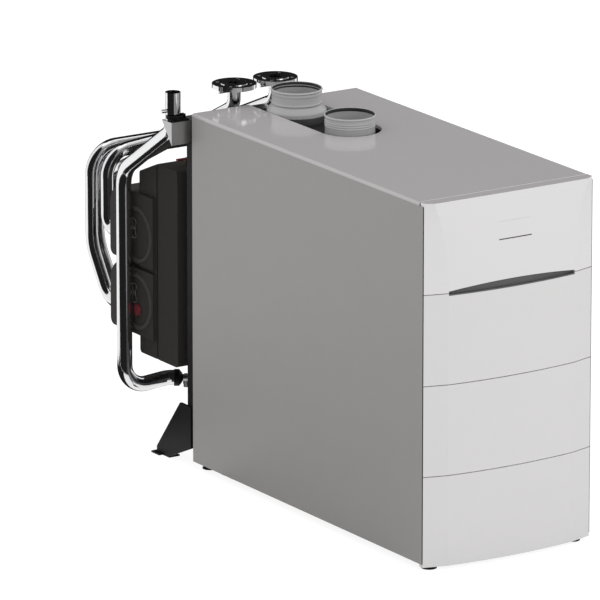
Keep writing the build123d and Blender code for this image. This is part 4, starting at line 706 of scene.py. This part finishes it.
@dataclass
class Collar(Assembly):
    """A duct collar: a socket with soft beads, a rolled rim, a seal groove and a dark lip.

    Its sections are points of radius and height. Those of the foot and of the base ring give
    the height itself, and those of the rim and of the lip give the drop from the rim's top.
    """

    name: str
    node: str
    y: float
    top: float
    foot: Section
    beads: Section
    bead_half: float
    seal_drop: float = 0.018
    base: Section = ()
    x: float = 0.044
    low: float = 1.308
    wall: float = 0.0912
    bore: float = 0.0895
    bead_points: int = 9
    seal_half: float = 0.003
    groove: float = 0.0011
    socket_depth: float = 0.07
    stop: float = 0.002
    rim: Section = (
        (0.0912, 0.0095), (0.09252, 0.0085), (0.0950, 0.0069), (0.0956, 0.0050),
        (0.0950, 0.0026), (0.0936, 0.0006), (0.0926, 0.0), (0.0901, 0.0008), (0.0895, 0.0030),
    )
    lip: Section = (
        (0.0899, 0.0022), (0.0887, 0.0014), (0.0867, 0.0057), (0.0863, 0.0097),
        (0.0879, 0.0102), (0.0899, 0.0072),
    )
    wall_sides: int = 120
    ring_sides: int = 96

    def dropped(self, section: Section) -> Section:
        """Turn the drops of a section's points into heights."""
        return tuple((radius, self.top - drop) for radius, drop in section)

    def outline(self) -> Section:
        """Draw the collar's section, up its outside and down its bore.

        Returns:
            Radius and height of each point.
        """
        line = list(self.foot)
        for height, lift in self.beads:
            for index in range(self.bead_points):
                share = index / (self.bead_points - 1)
                swell = lift * 0.5 * (1.0 - math.cos(math.tau * share))
                line.append((self.wall + swell, height + self.bead_half * (2.0 * share - 1.0)))
        above, below = self.seal_drop - self.seal_half, self.seal_drop + self.seal_half
        inside = (
            (self.bore, above),
            (self.bore + self.groove, above),
            (self.bore + self.groove, below),
            (self.bore, below),
            (self.bore, self.socket_depth),
            (self.bore - self.stop, self.socket_depth),
        )
        return (*line, *self.dropped(self.rim + inside), (self.bore - self.stop, self.low))

    def build(self) -> None:
        """Turn the collar, its lip and its base ring, and put it in its CAD node's place."""
        centre = (self.x, self.y, 0.0)
        wall = turned(self.outline(), centre, UP, self.wall_sides)
        self.add(wall, self.name, "collar_grey", (self.node,), sharp=50.0)
        lip = turned(self.dropped(self.lip), centre, UP, self.ring_sides)
        self.add(lip, f"{self.name}_lip", "seal_rubber")
        if self.base:
            ring = turned(self.base, centre, UP, self.ring_sides)
            self.add(ring, f"{self.name}_base", "dark_trim")


COLLARS: tuple[Collar, ...] = (
    Collar(
        "flue_socket_ring",
        "flue_collar",
        y=0.223,
        top=1.428,
        foot=(
            (0.110, 1.308), (0.110, 1.345), (0.1092, 1.3485), (0.106, 1.3525), (0.099, 1.3610),
            (0.0945, 1.3660),
        ),
        beads=((1.3760, 0.0034), (1.4110, 0.0020)),
        bead_half=0.0066,
        base=(
            (0.0998, 1.3085), (0.1118, 1.3085), (0.1118, 1.3325), (0.1111, 1.3339),
            (0.1098, 1.3345), (0.0998, 1.3345),
        ),
    ),
    Collar(
        "air_socket_ring",
        "air_collar",
        y=-0.134,
        top=1.406,
        foot=((0.0965, 1.308), (0.0965, 1.3105), (0.0925, 1.312)),
        beads=((1.3660, 0.0016), (1.3745, 0.0016), (1.3830, 0.0016)),
        bead_half=0.0036,
        seal_drop=0.011,
    ),
)


@dataclass
class FoamBlock(Assembly):
    """The rings on the foam pump covers, and the wire bails that hold the foam shells.

    The ring's section is radius and height from the foam's face. The bail's points and the
    catch's corners are taken from the clip's middle on that face.
    """

    face: float = -0.330
    ring_y: float = 0.732
    ring_ups: Pair = (0.555, 0.812)
    ring_sides: int = 96
    ring: Section = (
        (0.090, -0.004), (0.091, 0.00385), (0.094, 0.0063), (0.099, 0.0070), (0.104, 0.0063),
        (0.107, 0.00385), (0.108, -0.004),
    )
    clip_y: float = 0.746
    clip_ups: Pair = (0.586, 0.834)
    wire: float = 0.0016
    bail: tuple[Point, ...] = (
        (-0.0032, -0.011, -0.034), (-0.0038, 0.0, -0.037), (-0.0032, 0.011, -0.034),
        (-0.0042, 0.0088, 0.0), (-0.0032, 0.011, 0.034), (-0.0038, 0.0, 0.035),
        (-0.0032, -0.011, 0.034), (-0.0042, -0.0088, 0.0),
    )
    catch_low: Point = (-0.0042, -0.0077, -0.006)
    catch_high: Point = (0.001, 0.0077, 0.006)
    catch_edge: float = 0.0016

    def rings(self) -> None:
        """Mould a soft ring round each pump's end on the left side."""
        for name, up in zip(("lower_pump_rib", "upper_pump_rib"), self.ring_ups):
            centre = (self.face, self.ring_y, up)
            shape = turned(self.ring, centre, LEFTWARDS, self.ring_sides)
            # The rings take the lighter copy of the foam: painted light.
            self.add(shape, name, "painted_light_foam", sharp=60.0)

    def clips(self) -> None:
        """Bend a wire bail with its catch for each clip."""
        shapes = []
        for up in self.clip_ups:
            middle = (self.face, self.clip_y, up)
            shapes.append(wire_loop([moved(spot, middle) for spot in self.bail], self.wire))
            low, high = moved(self.catch_low, middle), moved(self.catch_high, middle)
            shapes.append(block(low, high, self.catch_edge))
        self.add(joined(shapes), "shell_bails", "plated_steel", ("shell_clips",))

    def build(self) -> None:
        """Make the rings and the clips."""
        self.rings()
        self.clips()


@dataclass
class StubClamp(Assembly):
    """The black band that holds the open stub on its bracket.

    Its two lugs and its plate end at reach, along x. The bolt's section is radius and place
    along the bolt from the middle of the gap between the lugs.
    """

    x: float = -0.354
    y: float = 0.4265
    bore: float = 0.0287
    outer: float = 0.0318
    low: float = 1.3225
    high: float = 1.3375
    band_sides: int = 64
    reach: float = -0.3105
    lug_root: float = 0.002
    lug_gap: float = 0.0045
    lug_outer: float = 0.0075
    lug_edge: float = 0.0008
    plate_start: float = -0.374
    plate_under: float = 1.3162
    plate_top: float = 1.3222
    plate_half: float = 0.0325
    plate_edge: float = 0.001
    bolt_x: float = -0.3165
    bolt_sides: int = 6
    bolt: Section = (
        (0.0, -0.0115), (0.0036, -0.0115), (0.0042, -0.0105), (0.0042, -0.0078),
        (0.0022, -0.0076), (0.0022, 0.0076), (0.0042, 0.0078), (0.0042, 0.0105),
        (0.0036, 0.0115), (0.0, 0.0115),
    )

    def band(self) -> Shape:
        """Turn the band with its softened outer edges.

        Returns:
            The band.
        """
        half = (self.outer - self.bore) / 2
        section = (
            (self.bore, self.low), (self.outer - half, self.low), (self.outer, self.low + half),
            (self.outer, self.high - half), (self.outer - half, self.high), (self.bore, self.high),
        )
        return turned(section, (self.x, self.y, 0.0), UP, self.band_sides)

    def build(self) -> None:
        """Put the band, its two lugs, its plate and the bolt through the lugs together."""
        shapes = [self.band()]
        root = self.x + self.outer - self.lug_root
        for near, far in ((-self.lug_outer, -self.lug_gap), (self.lug_gap, self.lug_outer)):
            low, high = (root, self.y + near, self.low), (self.reach, self.y + far, self.high)
            shapes.append(block(low, high, self.lug_edge))
        low = (self.plate_start, self.y - self.plate_half, self.plate_under)
        high = (self.reach, self.y + self.plate_half, self.plate_top)
        shapes.append(block(low, high, self.plate_edge))
        middle = (self.bolt_x, self.y, (self.low + self.high) / 2)
        shapes.append(turned(self.bolt, middle, REARWARDS, self.bolt_sides, closed=False))
        self.add(joined(shapes), "stub_clamp_band", "black_paint", ("line_clamp",))


@dataclass
class LineEnd(Assembly):
    """The black reducing socket that closes the low end of the expansion line.

    Its section is radius and place along the line's last run, from the line's end.
    """

    end: Point = (-0.148, 0.742, 0.231)
    along: Point = (0.8396, -0.5432, 0.0)
    sides: int = 64
    section: Section = (
        (0.0287, -0.014), (0.0308, -0.014), (0.0318, -0.0128), (0.0318, 0.004),
        (0.0296, 0.0068), (0.0195, 0.0150), (0.0135, 0.0178), (0.0115, 0.0205),
        (0.0103, 0.0215), (0.0085, 0.0215), (0.0085, 0.016), (0.0247, 0.003), (0.0287, 0.001),
    )

    def build(self) -> None:
        """Turn the socket about the line's last run."""
        shape = turned(self.section, self.end, self.along, self.sides)
        self.add(shape, "line_end_socket", "black_paint")


@dataclass
class ControlFace(Assembly):
    """What sits on the control box behind the cover: a bezel, the knob's scale and screws.

    Sink is how deep the bezel and the ticks reach into the box's front, and sweep the angle
    in degrees between the first and the last tick.
    """

    sink: float = 0.0002
    bezel_width: float = 0.006
    bezel_proud: float = 0.0018
    bezel_edge: float = 0.0007
    scale_radius: float = 0.0295
    tick_length: float = 0.005
    tick_half: float = 0.0007
    tick_proud: float = 0.0007
    tick_edge: float = 0.0003
    ticks: int = 11
    sweep: float = 300.0
    screw_inset: float = 0.012
    screw_sides: int = 16
    screw: Section = (
        (0.0, 0.0024), (0.0020, 0.0022), (0.0034, 0.0014), (0.0038, 0.0), (0.0038, -0.0003),
        (0.0, -0.0003),
    )

    def bezel(self, face: float) -> Shape:
        """Make the frame round the display, with its front proud of the box.

        Args:
            face: Where the box's front is, along y.

        Returns:
            The frame.
        """
        (x0, _, z0), (x1, _, z1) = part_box("control_display")
        wide, front, back = self.bezel_width, face - self.bezel_proud, face + self.sink
        bars = (
            ((x0 - wide, z1), (x1 + wide, z1 + wide)),
            ((x0 - wide, z0 - wide), (x1 + wide, z0)),
            ((x0 - wide, z0), (x0, z1)),
            ((x1, z0), (x1 + wide, z1)),
        )
        return joined([
            block((left, front, low), (right, back, high), self.bezel_edge)
            for (left, low), (right, high) in bars
        ])

    def scale(self, face: float) -> Shape:
        """Set the plain ticks of the knob's scale, the first and last ones at its stops.

        Args:
            face: Where the box's front is, along y.

        Returns:
            The ticks.
        """
        low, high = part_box("selector_knob")
        middle = ((low[0] + high[0]) / 2, 0.0, (low[2] + high[2]) / 2)
        inner = (-self.tick_half, face - self.tick_proud, self.scale_radius)
        outer = (self.tick_half, face + self.sink, self.scale_radius + self.tick_length)
        marks = []
        for index in range(self.ticks):
            angle = math.radians(self.sweep * (index / (self.ticks - 1) - 0.5))
            mark = block(inner, outer, self.tick_edge, segments=1)
            turn = Matrix.Translation(middle) @ Matrix.Rotation(angle, 4, "Y")
            bmesh.ops.transform(mark, matrix=turn, verts=mark.verts)
            marks.append(mark)
        return joined(marks)

    def screws(self, face: float) -> Shape:
        """Turn a low domed screw for each corner of the box's front.

        Args:
            face: Where the box's front is, along y.

        Returns:
            The screws.
        """
        low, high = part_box("control_box")
        across = (low[0] + self.screw_inset, high[0] - self.screw_inset)
        ups = (low[2] + self.screw_inset, high[2] - self.screw_inset)
        return joined([
            turned(self.screw, (x, face, z), FORWARDS, self.screw_sides, closed=False)
            for x in across for z in ups
        ])

    def build(self) -> None:
        """Make the bezel, the scale and the screws."""
        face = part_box("control_box")[0][1]
        self.add(self.bezel(face), "display_bezel", "grey_plastic")
        self.add(self.scale(face), "knob_scale", "white_plastic")
        self.add(self.screws(face), "control_box_screws", "plated_steel")


def seen_rays(tree: Tree) -> Socket:
    """Tell rays that show the background from rays that light the object.

    Args:
        tree: The node tree that asks.

    Returns:
        A socket that is 1 for camera, glossy and transmission rays and 0 otherwise.
    """
    path = tree.nodes.new("ShaderNodeLightPath")
    total = path.outputs["Is Camera Ray"]
    for name in ("Is Glossy Ray", "Is Transmission Ray"):
        add = tree.nodes.new("ShaderNodeMath")
        add.operation = "MAXIMUM"
        tree.links.new(total, add.inputs[0])
        tree.links.new(path.outputs[name], add.inputs[1])
        total = add.outputs[0]
    return total


def blended(tree: Tree, factor: Socket, lit: Socket, shown: Socket) -> Socket:
    """Blend two shaders by a factor.

    Args:
        tree: The node tree that they are in.
        factor: The socket that blends them.
        lit: The shader where the factor is 0.
        shown: The shader where the factor is 1.

    Returns:
        The blended shader's socket.
    """
    mix = tree.nodes.new("ShaderNodeMixShader")
    tree.links.new(factor, mix.inputs["Fac"])
    tree.links.new(lit, mix.inputs[1])
    tree.links.new(shown, mix.inputs[2])
    return mix.outputs["Shader"]


def glowing(tree: Tree, strength: float) -> Socket:
    """Add a white glow of one strength.

    Args:
        tree: The node tree that it goes into.
        strength: The glow's strength.

    Returns:
        The glow's shader socket.
    """
    glow = tree.nodes.new("ShaderNodeEmission")
    glow.inputs["Strength"].default_value = strength
    return glow.outputs["Emission"]


# Angle about z of the object's front, from which the flags' angles are counted.
FRONT_BEARING = -90.0


class Tone(Enum):
    """How bright a studio flag looks in a reflection."""

    BLACK = 0.015
    GREY = 0.30


@dataclass(frozen=True)
class Flag:
    """A studio flag that runs out along the floor, and up where it has a wall.

    It is spun about the object from its first to its last angle in degrees. Reflections see
    it, and it neither lights the object nor shows to the camera.
    """

    name: str
    first: float
    last: float
    tone: Tone
    near: float = 0.3
    far: float = 13.0
    wall: bool = True
    lift: float = 0.01
    wall_height: float = 14.0
    roof_radius: float = 4.0
    roof_height: float = 18.0
    steps: int = 24

    def build(self) -> None:
        """Spin the flag's profile about the object and hide it from the camera, diffuse rays and
        shadows.
        """
        shape = bmesh.new()
        start = math.radians(self.first + FRONT_BEARING)
        out, rise = Vector((math.cos(start), math.sin(start), 0.0)), Vector(UP)
        profile = [(self.near, self.lift), (self.far, self.lift)]
        if self.wall:
            profile += [(self.far, self.wall_height), (self.roof_radius, self.roof_height)]
        points = [shape.verts.new(out * radius + rise * height) for radius, height in profile]
        edges = [shape.edges.new(pair) for pair in zip(points, points[1:])]
        turn = math.radians(self.last - self.first)
        bmesh.ops.spin(
            shape, geom=[*points, *edges], cent=(0, 0, 0), axis=UP, angle=turn,
            steps=self.steps, dvec=(0, 0, 0),
        )
        flag = as_object(shape, self.name)
        flag.data.materials.append(self._paint())
        flag.visible_camera = False
        flag.visible_diffuse = False
        flag.visible_shadow = False

    def _paint(self) -> bpy.types.Material:
        """Give the flag its plain tone.

        Returns:
            The flag's material.
        """
        material = bpy.data.materials.new(self.name)
        material.use_nodes = True
        tree = material.node_tree
        glow = glowing(tree, self.tone.value)
        tree.links.new(glow, tree.nodes["Material Output"].inputs["Surface"])
        return material


@dataclass(frozen=True)
class Lamp:
    """A soft square lamp that faces a place."""

    name: str
    place: Point
    toward: Point
    size: float
    power: float

    def build(self) -> None:
        """Hang the lamp and turn it to the place."""
        lamp = bpy.data.lights.new(self.name, "AREA")
        lamp.size = self.size
        lamp.energy = self.power
        holder = bpy.data.objects.new(self.name, lamp)
        bpy.context.scene.collection.objects.link(holder)
        holder.location = self.place
        back = Vector(self.place) - Vector(self.toward)
        holder.rotation_euler = back.to_track_quat("Z", "Y").to_euler()


@dataclass
class Studio:
    """Floor, plain light, reflection flags and the photograph's camera.

    Floor_share is the glow's part in the floor where rays show it, and world_light and
    world_shown are the world's strength as light and as a background.
    """

    azimuth: float = -32.8066
    elevation: float = 15.5659
    distance: float = 29.8661
    pixels_per_metre: float = 279.01
    frame_pixels: float = 600.0
    sensor: float = 36.0
    clip_distances: float = 3.0
    aim: Point = (-0.33748, -0.392, 0.82426)
    floor_size: float = 60.0
    floor_colour: Rgba = (0.9, 0.9, 0.9, 1.0)
    floor_glow: float = 1.19
    floor_share: float = 0.75
    world_light: float = 0.86
    world_shown: float = 1.0
    flags: tuple[Flag, ...] = (
        Flag("black_left_flag", -123.0, -20.0, Tone.BLACK),
        Flag("grey_right_flag", -20.0, 92.0, Tone.GREY),
        Flag("black_rear_flag", 112.0, 182.0, Tone.BLACK),
        Flag("black_slope_flag", -176.0, -124.0, Tone.BLACK, near=0.9, far=1.95, wall=False),
    )
    lamps: tuple[Lamp, ...] = (
        Lamp("front_lamp", (2.6, -7.8, 3.4), (0.0, -1.0, 0.8), size=4.0, power=70.0),
        Lamp("top_lamp", (0.6, -0.4, 6.5), (0.0, -0.4, 1.3), size=5.0, power=40.0),
    )

    def place_camera(self) -> None:
        """Put the camera at the photograph's place, aimed as it was."""
        a, e = math.radians(self.azimuth), math.radians(self.elevation)
        back = Vector((math.sin(a) * math.cos(e), -math.cos(a) * math.cos(e), math.sin(e)))
        lens = bpy.data.cameras.new("camera")
        lens.sensor_width = self.sensor
        lens.lens = self.pixels_per_metre * self.distance * self.sensor / self.frame_pixels
        lens.clip_end = self.clip_distances * self.distance
        camera = bpy.data.objects.new("camera", lens)
        bpy.context.scene.collection.objects.link(camera)
        camera.location = Vector(self.aim) + back * self.distance
        camera.rotation_euler = back.to_track_quat("Z", "Y").to_euler()
        bpy.context.scene.camera = camera

    def place_floor(self) -> None:
        """Lay a pale floor that looks white and keeps a soft shadow."""
        shape = bmesh.new()
        bmesh.ops.create_grid(shape, x_segments=1, y_segments=1, size=self.floor_size / 2)
        floor = as_object(shape, "floor")
        floor.data.materials.append(self._floor_paint())

    def _floor_paint(self) -> bpy.types.Material:
        """Mix the floor's pale paint with a glow for the rays that show it.

        Returns:
            The floor's material.
        """
        material = bpy.data.materials.new("floor_paint")
        material.use_nodes = True
        tree = material.node_tree
        paint = tree.nodes.new("ShaderNodeBsdfDiffuse")
        paint.inputs["Color"].default_value = self.floor_colour
        share = tree.nodes.new("ShaderNodeMath")
        share.operation = "MULTIPLY"
        share.inputs[1].default_value = self.floor_share
        tree.links.new(seen_rays(tree), share.inputs[0])
        glow = glowing(tree, self.floor_glow)
        surface = blended(tree, share.outputs[0], paint.outputs["BSDF"], glow)
        tree.links.new(surface, tree.nodes["Material Output"].inputs["Surface"])
        return material

    def light_world(self) -> None:
        """Set the world's even light, and the white that it shows as a background."""
        world = bpy.data.worlds.new("studio")
        bpy.context.scene.world = world
        world.use_nodes = True
        tree = world.node_tree
        even, white = tree.nodes["Background"], tree.nodes.new("ShaderNodeBackground")
        for background, strength in ((even, self.world_light), (white, self.world_shown)):
            background.inputs["Color"].default_value = WHITE
            background.inputs["Strength"].default_value = strength
        surface = blended(
            tree, seen_rays(tree), even.outputs["Background"], white.outputs["Background"]
        )
        tree.links.new(surface, tree.nodes["World Output"].inputs["Surface"])

    def build(self) -> None:
        """Set up the camera, the floor, the flags and the light."""
        self.place_camera()
        self.place_floor()
        for flag in self.flags:
            flag.build()
        self.light_world()
        for lamp in self.lamps:
            lamp.build()
        bpy.context.scene.view_settings.view_transform = "Standard"


def main() -> None:
    """Build the studio, dress the CAD nodes and build the sub-assemblies in order."""
    logging.basicConfig(level=logging.INFO, format="%(name)s: %(message)s")
    Studio().build()
    dress_nodes()
    assemblies: tuple[Assembly, ...] = (
        FrontSealsAndPaintedLight(), RearScrews(), *COLLARS, FoamBlock(), StubClamp(), LineEnd(), ControlFace()
    )
    for assembly in assemblies:
        assembly.build()


if __name__ == "__main__":
    main()
